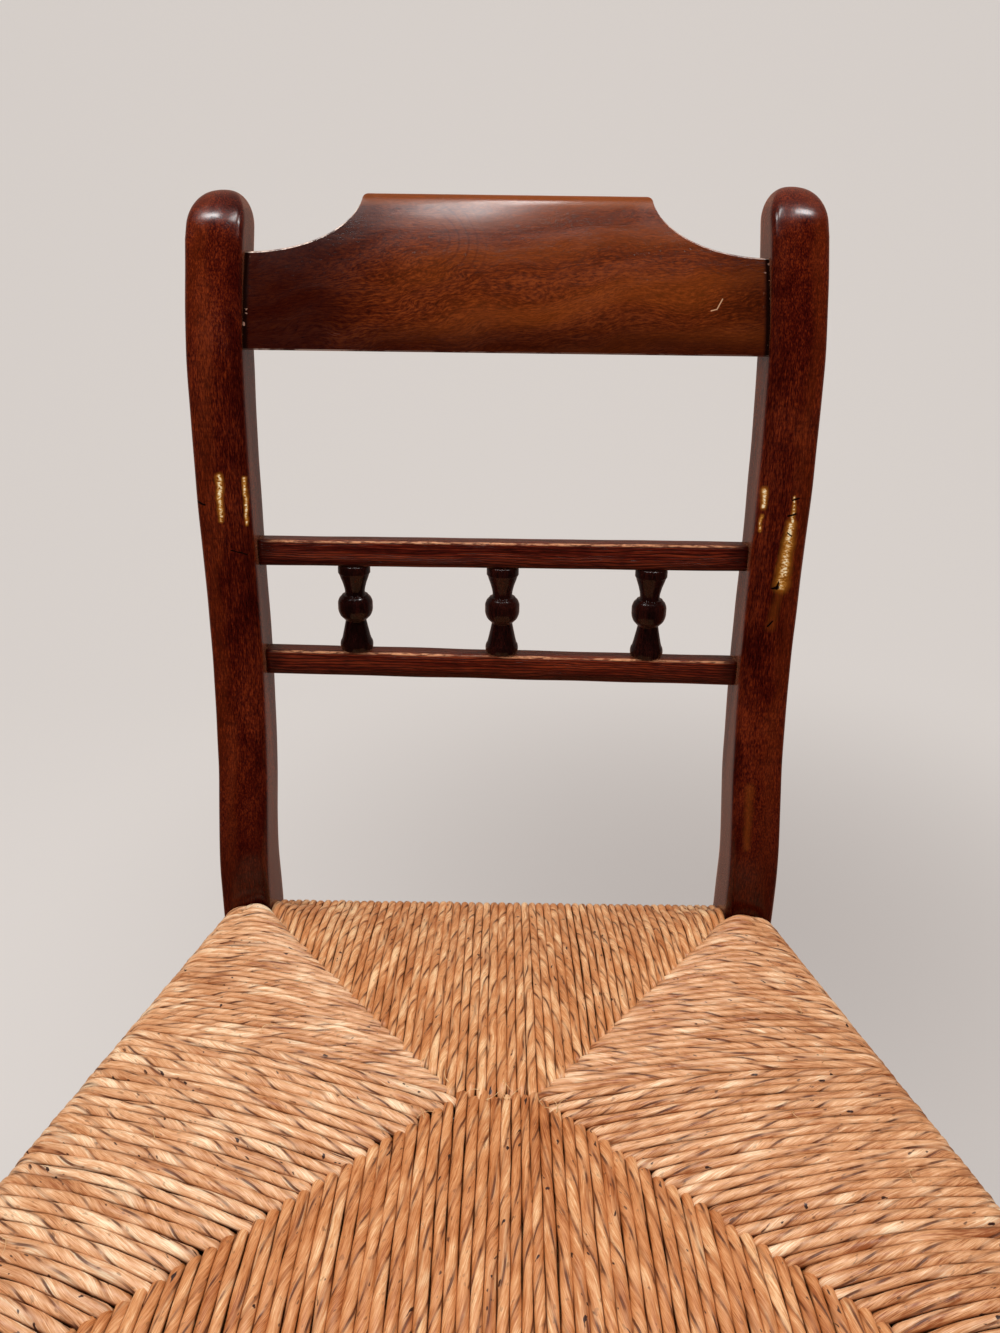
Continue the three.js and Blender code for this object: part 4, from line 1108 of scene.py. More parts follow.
def empty_tree(owner):
    """The node tree of a new material or world, with nothing in it."""
    owner.use_nodes = True
    owner.node_tree.nodes.clear()
    return owner.node_tree


def any_of(most, *others):
    """The greatest of several numbers."""
    for value in others:
        most = most.maths("MAXIMUM", value)
    return most


def covered(colour, *layers):
    """A colour with tints laid over it in turn: nothing where the cover is 0, all at 1."""
    for tint, cover in layers:
        colour = add(colour.tree, "Mix", {0: cover, 6: colour, 7: tint}, 2, data_type="RGBA")
    return colour


def close(surface, kind="OutputMaterial"):
    """Join a surface to its tree's output."""
    output = surface.tree.nodes.new("ShaderNode" + kind)
    surface.tree.links.new(surface.socket, output.inputs[0])


def finish_surface(colour, roughness, height, distance, constants=()):
    """The Principled shader with a bump of a distance in metres, joined to the output.
    What is the same all over the surface is set on the shader itself."""
    bump = add(colour.tree, "Bump", {"Height": height, "Distance": distance, "Strength": 1.0})
    inputs = {"Base Color": colour, "Roughness": roughness, "Normal": bump} | dict(constants)
    close(add(colour.tree, "BsdfPrincipled", inputs))


print("on screen 128 of 255 is", round(float(linear(128, 128, 128)[0]), 3), "in linear light")

# %% [markdown]
# All the shown wood is stained and polished, old and handled. Its colour is built in layers:
# slow mottling, finer streaks along the grain, short flecks where the stain took more or
# less, and dark pores where the vessels of the wood are cut open. Bump comes from the pores
# and from a slow ripple, because hand-shaved wood is never quite flat, but both stay low: a
# strong bump would scatter the room's light and lay a grey veil on dark wood. A warm sheen
# stands for the dry film that old wax shows at a low angle. One function lays these down;
# each wood then adds what is its own before the shader closes it.

# %% Layers of a stained wood
POLISH = {
    "Specular IOR Level": 0.2, "Coat Weight": 0.05, "Coat Roughness": 0.08,
    "Sheen Weight": 0.36, "Sheen Roughness": 0.3, "Sheen Tint": (0.95, 0.36, 0.18, 1.0),
}
# Where the three tones of a wood lie on the sum of its layers.
DARK_STOP, MIDDLE_STOP, LIGHT_STOP = 0.4, 0.49, 0.6
RIPPLE_CYCLES, RIPPLE_HEIGHT, PORE_DEPTH, GLOSS_WANDER = (26, 140, 140), 0.6, 0.4, 0.1


def wood_layers(grain, tones, mottle, streak, flecks, pores, shares=(0.45, 0.25, 0.3)):
    """The colour, the slow mottling and the height of a stained wood. The colour runs from
    dark to light by the mottling, the streaks and the flecks, in these shares; each of the
    three is cycles per metre along and across. Pores is how strongly the dark vessels show."""
    dark, middle, light = tones
    slow = grain.noise(mottle, 4.0, 0.6, 0.4)
    fine = grain.noise(streak, 4.0, 0.7)
    short = grain.noise(flecks, 2.0, 0.6)
    body = slow * shares[0] + fine * shares[1] + short * shares[2]
    colour = body.ramp((DARK_STOP, dark), (MIDDLE_STOP, middle), (LIGHT_STOP, light))
    vessel = short.spread(0.42, 0.32) * pores
    ripple = grain.noise(RIPPLE_CYCLES, 2.0)
    return covered(colour, (dark, vessel)), slow, ripple * RIPPLE_HEIGHT - vessel * PORE_DEPTH


def polished(colour, slow, height, gloss, distance=0.00012):
    """Close a stained wood: roughness wanders a little above its least, gloss."""
    rough = slow.spread(0.35, 0.7, gloss, gloss + GLOSS_WANDER)
    finish_surface(colour, rough, height, distance, POLISH)


print("polish", POLISH)

# %% [markdown]
# Some marks belong to one place on the chair: a rub, a crack, a scratch. Such a mark is a
# stroke, drawn at real heights across the front of the chair and softened at its edge. A
# stroke has no depth, so it would go right through the wood and show on the back as well;
# the way that the surface faces holds it to the front.

# %% Marks on the front of the chair
def stroke(place, start, end, widths, blur=0.6):
    """1 on a line drawn across the front of the chair between two (X, Z) points, in
    millimetres, and 0 outside its half width, which runs from one width to another along
    it. It is the distance to the nearest point of the line, over the width there: the
    share of the way along comes from a dot product and is held within 0 and 1."""
    (x0, z0), (x1, z1) = np.array(start) / 1000, np.array(end) / 1000
    way = np.array([x1 - x0, 0, z1 - z0])
    flat = place.vector("SUBTRACT", (x0, 0, z0)).vector("MULTIPLY", (1, 0, 1))
    along = flat.vector("DOT_PRODUCT", way / (way @ way), "Value")
    share = add(place.tree, "Clamp", {"Value": along})
    nearest = add(place.tree, "VectorMath", {0: tuple(way), "Scale": share}, operation="SCALE")
    first, last = np.broadcast_to(widths, 2) / 1000
    width = share * float(last - first) + float(first)
    return (flat.vector("DISTANCE", nearest, "Value") / width).spread(1.0, 1.0 - blur)


def facing_front(tree):
    """1 where the surface faces the front of the chair, 0 at its sides and back."""
    return add(tree, "TexCoord", (), "Normal").parts()[1].spread(-0.25, -0.5)


def front_marks(place, strokes, wider=1.0, blur=1.0):
    """1 on any of several strokes, on the front only; wider widens them all."""
    lines = [stroke(place, a, b, np.multiply(widths, wider), blur) for a, b, widths in strokes]
    return any_of(*lines) * facing_front(place.tree)


def pushed(place, scale, amount):
    """The place moved by a noise, up to half of amount (metres) each way."""
    drawn = add(place.tree, "TexNoise", {"Vector": place, "Scale": scale, "Detail": 2.0}, "Color")
    centred = drawn.vector("SUBTRACT", (0.5, 0.5, 0.5))
    moved = add(place.tree, "VectorMath", {0: centred, "Scale": amount}, operation="SCALE")
    return place.vector("ADD", moved)


print("strokes are drawn in millimetres across and up the front")

# %% [markdown]
# The posts are a red mahogany, blotched where hands have rubbed the stain thin, with a net of
# hair-fine dark lines where the old varnish has crazed. It is darker along the inner edges,
# which the outward attribute finds. Low down, where the posts meet the rush, it is darkened
# with painted shade.

# %% Wood of the posts, legs and stretchers
POST_TONES = linear(36, 1, 0), linear(65, 11, 3), linear(114, 38, 8)
RUBBED_RED, EDGE_RED = linear(124, 50, 12), linear(34, 1, 0)
FIGURE_AND_SHADE_RED, CRAZING_RED = linear(38, 2, 0), linear(34, 3, 1)
post_wood = bpy.data.materials.new("post_mahogany_polished")
tree = empty_tree(post_wood)
grain = stored(tree, "grain", "Vector")
post_colour, post_slow, post_height = wood_layers(
    grain, POST_TONES, (16, 50, 50), (70, 900, 900), (300, 1900, 1900), 0.35, (0.28, 0.32, 0.4)
)
leaning = (post_slow - 0.5) * 1.6 + stored(tree, "outward")
rubbed = leaning.spread(0.0, 0.45) * leaning.spread(1.0, 0.6)
inner_edge = leaning.spread(-0.35, -1.0, 0.0, 0.5)
figure = grain.noise((420, 60, 60), 2.0).spread(0.52, 0.7)
spot = add(tree, "TexCoord", (), "Object")
chair_z = spot.parts()[2]
# Painted shade low down, where the posts meet the rush.
low_shade = chair_z.spread(0.54, 0.455, 0.0, 0.5) * chair_z.spread(0.38, 0.44)
net = add(tree, "Mapping", {"Vector": pushed(grain, 160.0, 0.004), "Scale": (55, 260, 260)})
cells = add(tree, "TexVoronoi", {"Vector": net, "Scale": 1.0}, feature="DISTANCE_TO_EDGE")
crazing = cells.spread(0.07, 0.0) * post_slow.spread(0.42, 0.56)
post_colour = covered(
    post_colour, (RUBBED_RED, rubbed * 0.16), (EDGE_RED, inner_edge),
    (FIGURE_AND_SHADE_RED, any_of(figure * 0.3, low_shade)), (CRAZING_RED, crazing * 0.35),
)
print(post_wood.name, "from", len(POST_TONES), "tones")

# %% [markdown]
# On the bend that a back leans on, the varnish is worn to a golden, crinkled gloss, with a
# few small dark cracks across it. The gold is partly that wear and partly a painted glint.
# The strokes of these places are pushed about by a noise, so that no edge is straight. A
# crinkle, which is a noise drawn out sideways, then parts the gold: a painted highlight on
# its ridges, painted shade in its furrows, with a thinner gold around.

# %% Worn places on the posts
# Each is a line from one (X, Z) to another and its half widths, in millimetres.
WORN_AND_GLINT_STROKES = [
    ((-161.2, 691), (-162.2, 666), (2.4, 1.6)), ((-147.2, 690), (-147.8, 664), (1.4, 1.0)),
    ((148.2, 687), (148.1, 678), (2.2, 1.8)), ((147.7, 673), (147.6, 664), (1.2, 0.9)),
    ((165.6, 684), (165.4, 668), (0.9, 2.0)), ((165.2, 668), (163.6, 632), (3.2, 4.8)),
]
CRACK_STROKES = [
    ((-175.0, 676.5), (-171.0, 675.2), 0.9), ((-158.0, 648.5), (-149.0, 646.2), 0.6),
    ((164.6, 682.4), (168.4, 683.0), 0.7), ((162.6, 673.0), (167.0, 674.2), 0.9),
    ((163.4, 663.0), (166.4, 661.6), 0.5), ((158.4, 629.4), (161.4, 630.6), (0.8, 1.8)),
    ((161.0, 630.0), (161.8, 634.0), (1.5, 0.5)), ((158.5, 606.0), (160.5, 609.5), 0.7),
]
FAINT_STROKES = [((163.0, 629), (160.2, 606), (4.4, 5.2)), ((155.0, 505), (154.0, 470), (5.0, 4.0))]
HALO_SPREAD, CRINKLE_CYCLES, CRINKLE_HEIGHT = 1.5, (330, 330, 640), 2.0
FAINT_GOLD, GLINT_HALO_GOLD, GOLD = linear(132, 66, 16), linear(168, 102, 26), linear(210, 152, 68)
PAINTED_GLINT_GOLD, FURROW_SHADE_BROWN, CRACK_BLACK = linear(255, 242, 206), linear(92, 40, 8), linear(16, 3, 2)

crinkle = spot.noise(CRINKLE_CYCLES, 3.0, 0.6, 1.2)
patchy = spot.noise((60, 60, 130), 1.0).spread(0.36, 0.62, 0.7, 1.0)
moved = pushed(spot, 150.0, 0.0026)
worn = front_marks(moved, WORN_AND_GLINT_STROKES) * patchy
glint_halo = front_marks(moved, WORN_AND_GLINT_STROKES, HALO_SPREAD)
cracks = front_marks(moved, CRACK_STROKES, blur=0.6)
# The gold, its bright spots and its brown furrows are partly worn varnish and partly painted light:
# a painted glint, with painted highlights on the crinkle's ridges and painted shade in its furrows.
raised = worn * 0.14 + crinkle
gilt_and_glint = raised.spread(0.48, 0.64) * worn.spread(0.0, 0.75)
painted_glint = raised.spread(0.59, 0.72) * worn.spread(0.25, 0.9)
furrow_shade = crinkle.spread(0.44, 0.36) * worn
post_colour = covered(
    post_colour, (FAINT_GOLD, front_marks(moved, FAINT_STROKES) * 0.3), (GLINT_HALO_GOLD, glint_halo * 0.85),
    (GOLD, gilt_and_glint), (PAINTED_GLINT_GOLD, painted_glint), (FURROW_SHADE_BROWN, furrow_shade * 0.8), (CRACK_BLACK, cracks),
)
post_height = crinkle * glint_halo * CRINKLE_HEIGHT + post_height - cracks
polished(post_colour, post_slow, post_height, 0.17)
print(post_wood.name, len(WORN_AND_GLINT_STROKES), "worn places and", len(CRACK_STROKES), "cracks")

# %% [markdown]
# The crest is cut from a wider board of the same wood, so it shows more figure. A board cut
# through a tree's growth rings shows them as nested arcs, and as long bands where the rings
# run shallow. Both are sines of a distance: the arcs of the distance from a point, squashed
# along the grain, and the bands of a height that tilts and is warped by a slow noise. The
# fine grain follows the same warped height.

# %% Wood of the crest rail
CREST_TONES = linear(40, 6, 1), linear(74, 22, 5), linear(112, 46, 12)
ARC_CENTRE, ARC_SPACING, ARC_SQUASH, BAND_SPACING = (-46.0, 378.0), 4.2, 0.8, 30.0
GRAIN_TILT, GRAIN_WARP, ARC_WARP = -0.16, 0.06, 0.014
GOLDEN_BROWN, ARC_BROWN = linear(138, 66, 16), linear(50, 12, 4)


def rings_of_growth(distance, spacing):
    """A sine of a distance in metres, once up and down in each spacing in millimetres."""
    return (distance * (2 * math.pi * 1000 / spacing)).maths("SINE")


crest_wood = bpy.data.materials.new("crest_mahogany_polished")
tree = empty_tree(crest_wood)
board = stored(tree, "grain", "Vector")
x, y, z = board.parts()
warp = board.noise((9, 9, 20), 3.0, 0.5)
tilted = warp * GRAIN_WARP + (x * GRAIN_TILT + z)
grain = add(tree, "CombineXYZ", {"X": x, "Y": y, "Z": tilted})
crest_colour, crest_slow, crest_height = wood_layers(
    grain, CREST_TONES, (14, 60, 60), (50, 900, 900), (300, 1500, 1500), 0.6, (0.2, 0.36, 0.44)
)
bands = rings_of_growth(tilted, BAND_SPACING).spread(-1.0, 1.0, 0.35, 1.0)
golden = bands * x.spread(-0.1, -0.01, 0.0, 0.3)

off_x, off_z = (x - ARC_CENTRE[0] / 1000) * ARC_SQUASH, z - ARC_CENTRE[1] / 1000
reach = warp * ARC_WARP + (off_x * off_x + off_z * off_z).maths("SQRT")
near = reach.spread(0.042, 0.024) * off_x.spread(0.002, 0.012)
arc_lines = rings_of_growth(reach, ARC_SPACING).spread(0.45, 1.0) * near
crest_colour = covered(crest_colour, (GOLDEN_BROWN, golden), (ARC_BROWN, arc_lines * 0.4))
print(crest_wood.name, "with arcs", ARC_SPACING, "mm apart")

# %% [markdown]
# The crest's left end, its lower edge and its right end are darkened with painted shade, and
# the top of the roll is painted lighter, as painted light. Use has left its marks too: a
# scratch crosses the right side. At the posts, dirt fills the joints and a little of the
# polish has chipped, and along the coves the thin edge shows bare wood, which the wear
# attribute finds.

# %% Wear of the crest rail
SCRATCH = [((118.6, 788.2), (115.6, 783.0), 0.42), ((115.6, 783.0), (112.4, 782.2), 0.38)]
CREST_SHADE_RED, ROLL_TOP_LIGHT, SCRATCH_TAN = linear(34, 2, 0), linear(132, 66, 22), linear(206, 158, 120)
JOINT_BLACK, CHIP_GREY, BARE_WOOD = linear(14, 2, 1), linear(150, 112, 96), linear(240, 206, 186)
# How far from its end the crest's dirt begins and is full, in millimetres.
JOINT_DIRT = (4.0, 1.2)

# Painted shade at the left end, the lower edge and the right end.
crest_shade = any_of(
    (warp * 0.06 + x).spread(-0.02, -0.08), (warp * 0.03 + z).spread(0.358, 0.336, 0.0, 0.85),
    x.spread(0.105, 0.145, 0.0, 0.65),
)
spot = add(tree, "TexCoord", (), "Object")
scratch = front_marks(spot, SCRATCH, blur=0.6)
joint = x.maths("ABSOLUTE").spread(*((CREST_END - inset) / 1000 for inset in JOINT_DIRT))
chips = grain.noise((300, 300, 260), 1.0).spread(0.66, 0.7)
broken = spot.noise((90, 90, 90), 3.0, 0.6).spread(0.4, 0.56, 0.1, 0.85)
bare = stored(tree, "wear") * (broken * x.spread(-0.06, -0.085, 0.35, 1.0))
# The top of the roll is painted lighter here, as painted light.
crest_colour = covered(
    crest_colour, (CREST_SHADE_RED, crest_shade * 0.84), (ROLL_TOP_LIGHT, z.spread(0.3925, 0.397) * 0.5),
    (SCRATCH_TAN, scratch * 0.75), (JOINT_BLACK, joint), (CHIP_GREY, joint * chips),
    (BARE_WOOD, bare),
)
polished(crest_colour, crest_slow, crest_height - arc_lines * 0.15, 0.18, 0.00005)
print(crest_wood.name, "with a scratch of", len(SCRATCH), "strokes")

# %% [markdown]
# The two thin rails are a coarse, open-grained wood: near-black lines, where the ring of
# large vessels is cut, run between orange-brown ones, bent here and there. A sine of the
# height across the rail, pushed about by a slow noise, draws them. The lower half and both
# ends are darkened with painted shade, and the front upper arris is pale: partly wood that
# cloth has rubbed bare, partly a painted highlight. The spindles are turned from a close,
# dark wood with hardly any figure and the highest gloss.

# %% Woods of the back rails and spindles
RING_SPACING, RING_BEND = 1.7, 0.012
RAIL_TONES = linear(40, 2, 0), linear(84, 18, 6), linear(136, 50, 18)
RING_BLACK, RAIL_SHADE_BROWN, ARRIS_WEAR_AND_HIGHLIGHT = linear(22, 2, 1), linear(34, 3, 1), linear(216, 150, 108)
SPINDLE_TONES = linear(14, 3, 2), linear(24, 6, 5), linear(44, 12, 7)
rail_wood = bpy.data.materials.new("rail_ash_stained")
tree = empty_tree(rail_wood)
grain = stored(tree, "grain", "Vector")
colour, slow, height = wood_layers(
    grain, RAIL_TONES, (6, 200, 200), (22, 700, 700), (120, 2200, 2200), 0.8
)
backwards, upwards = grain.parts()[1:]
bend = grain.noise((7, 40, 40), 3.0, 0.6)
rings = rings_of_growth(bend * RING_BEND + (backwards + upwards), RING_SPACING)
open_rings = rings.spread(0.1, 0.95) * slow.spread(0.3, 0.55, 0.35, 1.0)
rise, back = stored(tree, "rise"), stored(tree, "back")
from_middle = add(tree, "TexCoord", (), "Object").parts()[0].maths("ABSOLUTE")
# Painted shade on the lower half of the rail and at both ends.
rail_shade = any_of((bend * 0.8 + rise).spread(0.5, -0.5), from_middle.spread(0.128, 0.143))
# The pale front upper arris is partly wood rubbed bare and partly a painted highlight.
front_arris = (rise - back).spread(1.78, 1.87)
rubbed = grain.noise((170, 900, 900), 3.0, 0.7).spread(0.42, 0.56, 0.12, 1.0)
rubbed = rubbed * from_middle.spread(0.143, 0.13)
colour = covered(
    colour, (RING_BLACK, open_rings * 0.85), (RAIL_SHADE_BROWN, rail_shade * 0.7),
    (ARRIS_WEAR_AND_HIGHLIGHT, front_arris * rubbed),
)
polished(colour, slow, height - open_rings, 0.24, 0.00016)

spindle_wood = bpy.data.materials.new("spindle_wood_polished")
grain = stored(empty_tree(spindle_wood), "grain", "Vector")
layers = wood_layers(grain, SPINDLE_TONES, (20, 90, 90), (60, 600, 600), (200, 1500, 1500), 0.4)
polished(*layers, 0.13)
print("back woods", rail_wood.name, spindle_wood.name)

# %% [markdown]
# The seat rails are hidden in the rush, and nobody stains what is hidden: they are raw, dry
# wood. They stay as the frame's own pieces, so the pattern reads Object coordinates.

# %% Raw wood of the seat rails
RAW_TONES = linear(128, 92, 56), linear(176, 136, 92), linear(206, 170, 124)
raw_wood = bpy.data.materials.new("seat_rail_raw")
place = add(empty_tree(raw_wood), "TexCoord", (), "Object")
fibre, patch = place.noise((160, 160, 420), 4.0, 0.7), place.noise((18, 18, 40), 3.0)
raw_colour = (fibre * 0.6 + patch * 0.4).ramp(*zip((0.35, 0.5, 0.65), RAW_TONES))
finish_surface(raw_colour, fibre.spread(0.3, 0.7, 0.7, 0.85), fibre, 0.0003)
seat_rails = ["seat_rail_" + which for which in ("front", "back", "left", "right")]
for name in seat_rails:
    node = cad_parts[name]
    node.data.materials.clear()
    node.data.materials.append(raw_wood)
print("raw wood on", seat_rails)

# %% [markdown]
# Rush is a dried leaf: straw to amber, paler where the leaf's smooth back lies outwards,
# with fine fibres along it and specks of brown where it has spotted. The lay attribute holds
# the distance along the strand and the angle on its leaves, as a cosine and a sine, so it
# has no seam. An arctangent gives the angle back; cut into halves, it says which of the two
# leaves a point is on and how far across, and each leaf then has its own tone, fibres that
# wind with it, and a painted shade line, faint here and deep there, where its edge lies.
# Painted shade darkens the valleys between the strands, which the flank attribute finds.

# %% Rush
LEAF_WIDTH = math.pi * STRAND / 2
VALLEY_SHADE_BROWN, GAP_SHADE_BROWN, CREASE_SHADE_BROWN = linear(120, 58, 18), linear(62, 22, 6), linear(82, 32, 8)
STAIN_BROWN, SPECK_BROWN = linear(150, 78, 34), linear(54, 22, 12)
TONE_STOPS, TONE_AMOUNT = (0.3, 0.43, 0.57, 0.74), 0.05
# The leaves of the two side panels are paler than those of the two that run across, as a painted
# sheen.
RUSH_TONES_LIT_AND_SHADED = {
    "side": ((150, 80, 36), (204, 140, 90), (232, 176, 130), (255, 232, 194)),
    "across": ((150, 76, 28), (194, 120, 66), (218, 150, 96), (248, 204, 154)),
}


def rush_material(name, tones):
    """Dried rush. Each leaf's tone comes from a slow noise along it, fibres and specks lie
    over that, and the crease between leaves is darkened with painted shade and cut into the bump."""
    material = bpy.data.materials.new(name)
    tree = empty_tree(material)
    lay = stored(tree, "lay", "Vector")
    run, cosine, sine = lay.parts()
    halves = sine.maths("ARCTAN2", cosine) * (1 / math.pi) + 1.0
    leaf, within = halves.maths("FLOOR"), halves.maths("FRACT")
    leaf_parts = {"X": run, "Y": leaf * 0.5, "Z": within * (LEAF_WIDTH / 1000)}
    on_leaf = add(tree, "CombineXYZ", leaf_parts)

    slow = on_leaf.noise((34, 34, 120), 2.0, 0.5)
    patch = on_leaf.noise((110, 60, 640), 2.0, 0.6)
    streak = on_leaf.noise((60, 60, 1300), 3.0, 0.7)
    fibre = on_leaf.noise((150, 150, 3600), 2.0, 0.6)
    body = stored(tree, "tone") * TONE_AMOUNT + 0.5
    for layer, amount in ((slow, 0.6), (patch, 0.3), (streak, 0.55), (fibre, 0.5)):
        body = (layer - 0.5) * amount + body

    flank = stored(tree, "flank")
    # Painted shade: down each strand's flanks, in the deep gaps under the tips, towards each leaf's
    # edge and along the crease line.
    valley_shade = (streak * 0.3 + flank).spread(0.5, 1.0)
    gap = (patch * 0.6 + flank).spread(1.08, 1.25)
    edge = streak * 0.08 + (within - 0.5).maths("ABSOLUTE")
    open_here = on_leaf.noise((75, 0, 0), 1.0).spread(0.42, 0.6, 0.05, 1.0)
    crease = edge.spread(0.465, 0.505) * open_here
    shade = edge.spread(0.32, 0.54)
    stain = lay.noise((9, 160, 160), 2.0).spread(0.54, 0.66)
    speck = on_leaf.noise((230, 230, 520), 1.0, 0.4).spread(0.655, 0.7) * (stain * 0.7 + 0.3)
    colour = covered(
        body.ramp(*((stop, linear(*tone)) for stop, tone in zip(TONE_STOPS, tones))),
        (VALLEY_SHADE_BROWN, valley_shade * 0.6), (GAP_SHADE_BROWN, gap * 0.85), (VALLEY_SHADE_BROWN, shade * 0.34),
        (CREASE_SHADE_BROWN, crease * 0.85), (STAIN_BROWN, stain * 0.22), (SPECK_BROWN, speck),
    )
    height = streak * 0.35 + patch * 0.3 - crease * 0.5
    rough = streak.spread(0.3, 0.7, 0.34, 0.56)
    finish_surface(colour, rough, height, 0.0005, {"Specular IOR Level": 0.55})
    return material


rush_looks = {name: rush_material("rush_" + name, tones) for name, tones in RUSH_TONES_LIT_AND_SHADED.items()}
print("rush materials", [material.name for material in rush_looks.values()])

# %% [markdown]
# Two more kinds of rush: the frayed fibres, pale and plain, and the loose stuffing, duller
# and browner than the wound strands, because it is packed as it comes.

# %% Loose rush
FIBRE_TONES = linear(196, 140, 84), linear(240, 206, 156)
LOOSE_TONES = linear(84, 56, 30), linear(138, 100, 58), linear(176, 138, 88)
fibre_look = bpy.data.materials.new("rush_fibre")
speckle = add(empty_tree(fibre_look), "TexCoord", (), "Object").noise((300, 300, 300), 2.0)
fibre_colour = speckle.ramp(*zip((0.3, 0.7), FIBRE_TONES))
finish_surface(fibre_colour, speckle.spread(0.3, 0.7, 0.45, 0.6), speckle, 0.0001)

loose_look = bpy.data.materials.new("loose_rush_packed")
place = add(empty_tree(loose_look), "TexCoord", (), "Object")
straws = place.noise((900, 220, 900), 4.0, 0.7, 1.5)
loose_colour = straws.ramp(*zip((0.35, 0.5, 0.65), LOOSE_TONES))
finish_surface(loose_colour, straws.spread(0.3, 0.7, 0.8, 0.95), straws, 0.002)
print("loose rush", fibre_look.name, loose_look.name)

# %% [markdown]
# Each new piece takes its material, rides on the chair's only body and stands for one or
# more of the frame's nodes. The strands of all four panels together stand for the one solid
# of the seat.

# %% Join the pieces to the frame
def settle(piece, material, slot, *nodes):
    """The piece takes a material, rides on the chair and stands for its nodes; the slot is not
    used.
    """
    piece.data.materials.append(material)
    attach(piece, "root")
    if nodes:
        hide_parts(*nodes)


for pieces, material, slot in (
    (posts | legs | stretchers, post_wood, "post_mahogany"),
    ({"crest_rail": crest}, crest_wood, "crest_mahogany"),
    (back_rails, rail_wood, "rail_ash"), (spindles, spindle_wood, "spindle_wood"),
):
    for node_name, piece in pieces.items():
        settle(piece, material, slot, node_name)
    print(slot, "on", list(pieces))
for name, piece in rush_pieces.items():
    # The side panels take the paler rush, a painted sheen.
    look = rush_looks["side" if name in ("left", "right") else "across"]
    settle(piece, look, "rush", "rush_seat")
settle(fibres, fibre_look, "rush")
for name, pad in pads.items():
    settle(pad, loose_look, "loose_rush", "stuffing_" + name)
print("rush on", list(rush_pieces), "and loose rush on", list(pads))

# %% [markdown]
# The chair stands on a plain pale sweep: a floor that curves up into a backdrop with no
# corner, so that nothing behind the chair draws a line.

# %% Stage
SWEEP_NEAR, SWEEP_BACK, SWEEP_HEIGHT, SWEEP_CURVE, SWEEP_HALF = -3.0, 2.6, 3.4, 1.2, 4.0


def sweep_line():
    """The floor's line in (Y, Z): level, a quarter circle, then upright."""
    turn = np.linspace(0, np.pi / 2, 24)
    curve_y = SWEEP_BACK - SWEEP_CURVE + SWEEP_CURVE * np.sin(turn)
    curve = np.stack([curve_y, SWEEP_CURVE * (1 - np.cos(turn))], -1)
    return np.concatenate([[[SWEEP_NEAR, 0]], curve, [[SWEEP_BACK, SWEEP_HEIGHT]]])


line = sweep_line()
rows = np.concatenate([
    np.column_stack([np.full(len(line), x), line]) for x in (SWEEP_HALF, -SWEEP_HALF)
])
step = np.arange(len(line) - 1)
strips = np.stack([step, step + 1, step + 1 + len(line), step + len(line)], -1)
sweep_mesh = bpy.data.meshes.new("studio_sweep")
sweep_mesh.from_pydata(rows.tolist(), [], strips.tolist())
sweep_mesh.shade_smooth()
sweep = bpy.data.objects.new("studio_sweep", sweep_mesh)
bpy.context.scene.collection.objects.link(sweep)
print("sweep", SWEEP_BACK - SWEEP_NEAR, "m deep")

# %% [markdown]
# To the camera the sweep shows mostly its own flat colour and a quarter of the light that
# falls on it, so it stays even but keeps the shadow, and a painted shadow darkens it a little
# behind the chair and to its right. What polished wood mirrors is the room: pale behind the
# chair, dim in front of it, where whoever looks at the chair stands. So for mirrored rays the
# sweep fades from one to the other along Y.

# %% Paper of the stage
STAGE_COLOUR, SHADE_COLOUR = linear(222, 215, 210), linear(178, 170, 166)
SHADE_CENTRE, SHADE_REACH, LIGHT_SHARE = (0.3, 0.7, 0.0), 1.0, 0.25
DIM_ROOM, PALE_ROOM = 0.012, 0.27


def by_ray(lit, seen, mirrored):
    """One surface that lights the chair, one that the camera sees and one that polished
    wood mirrors, told apart by the kind of ray."""
    kinds = ("Is Camera Ray", "Is Glossy Ray", "Is Transmission Ray")
    camera_ray, glossy, through = (add(lit.tree, "LightPath", (), kind) for kind in kinds)
    both = add(lit.tree, "MixShader", {0: camera_ray, 1: lit, 2: seen})
    return add(lit.tree, "MixShader", {0: any_of(glossy, through), 1: both, 2: mirrored})


paper = bpy.data.materials.new("studio_paper")
tree = empty_tree(paper)
spot = add(tree, "TexCoord", (), "Object")
# A painted shadow: the paper darkens around a point behind the chair and to its right.
away = spot.vector("DISTANCE", SHADE_CENTRE, "Value").spread(0.0, SHADE_REACH)
paper_colour = add(tree, "Mix", {0: away, 6: SHADE_COLOUR, 7: STAGE_COLOUR}, 2, data_type="RGBA")
plain = add(tree, "BsdfDiffuse", {"Color": STAGE_COLOUR})
glow = add(tree, "Emission", {"Color": paper_colour, "Strength": 1.0})
shown = add(tree, "MixShader", {0: LIGHT_SHARE, 1: glow, 2: plain})
room_level = spot.parts()[1].spread(-0.1, 1.2, DIM_ROOM, PALE_ROOM)
room = add(tree, "Emission", {"Color": STAGE_COLOUR, "Strength": room_level})
close(by_ray(plain, shown, room))
sweep_mesh.materials.append(paper)
print("paper", paper.name, "mirrored at", DIM_ROOM, "to", PALE_ROOM)

# %% [markdown]
# The light is that of a pale room: an even world and three small soft lamps in a row above
# the back. They draw the bright band along the crest's roll, the light arris of the
# thin rails and the round glint on each post's top. A weak lamp in front fills the shadows
# and isn't mirrored, because nothing bright stands in front of the chair. What the wood
# mirrors of the world fades from dim to pale as the sweep does, and is brighter overhead.

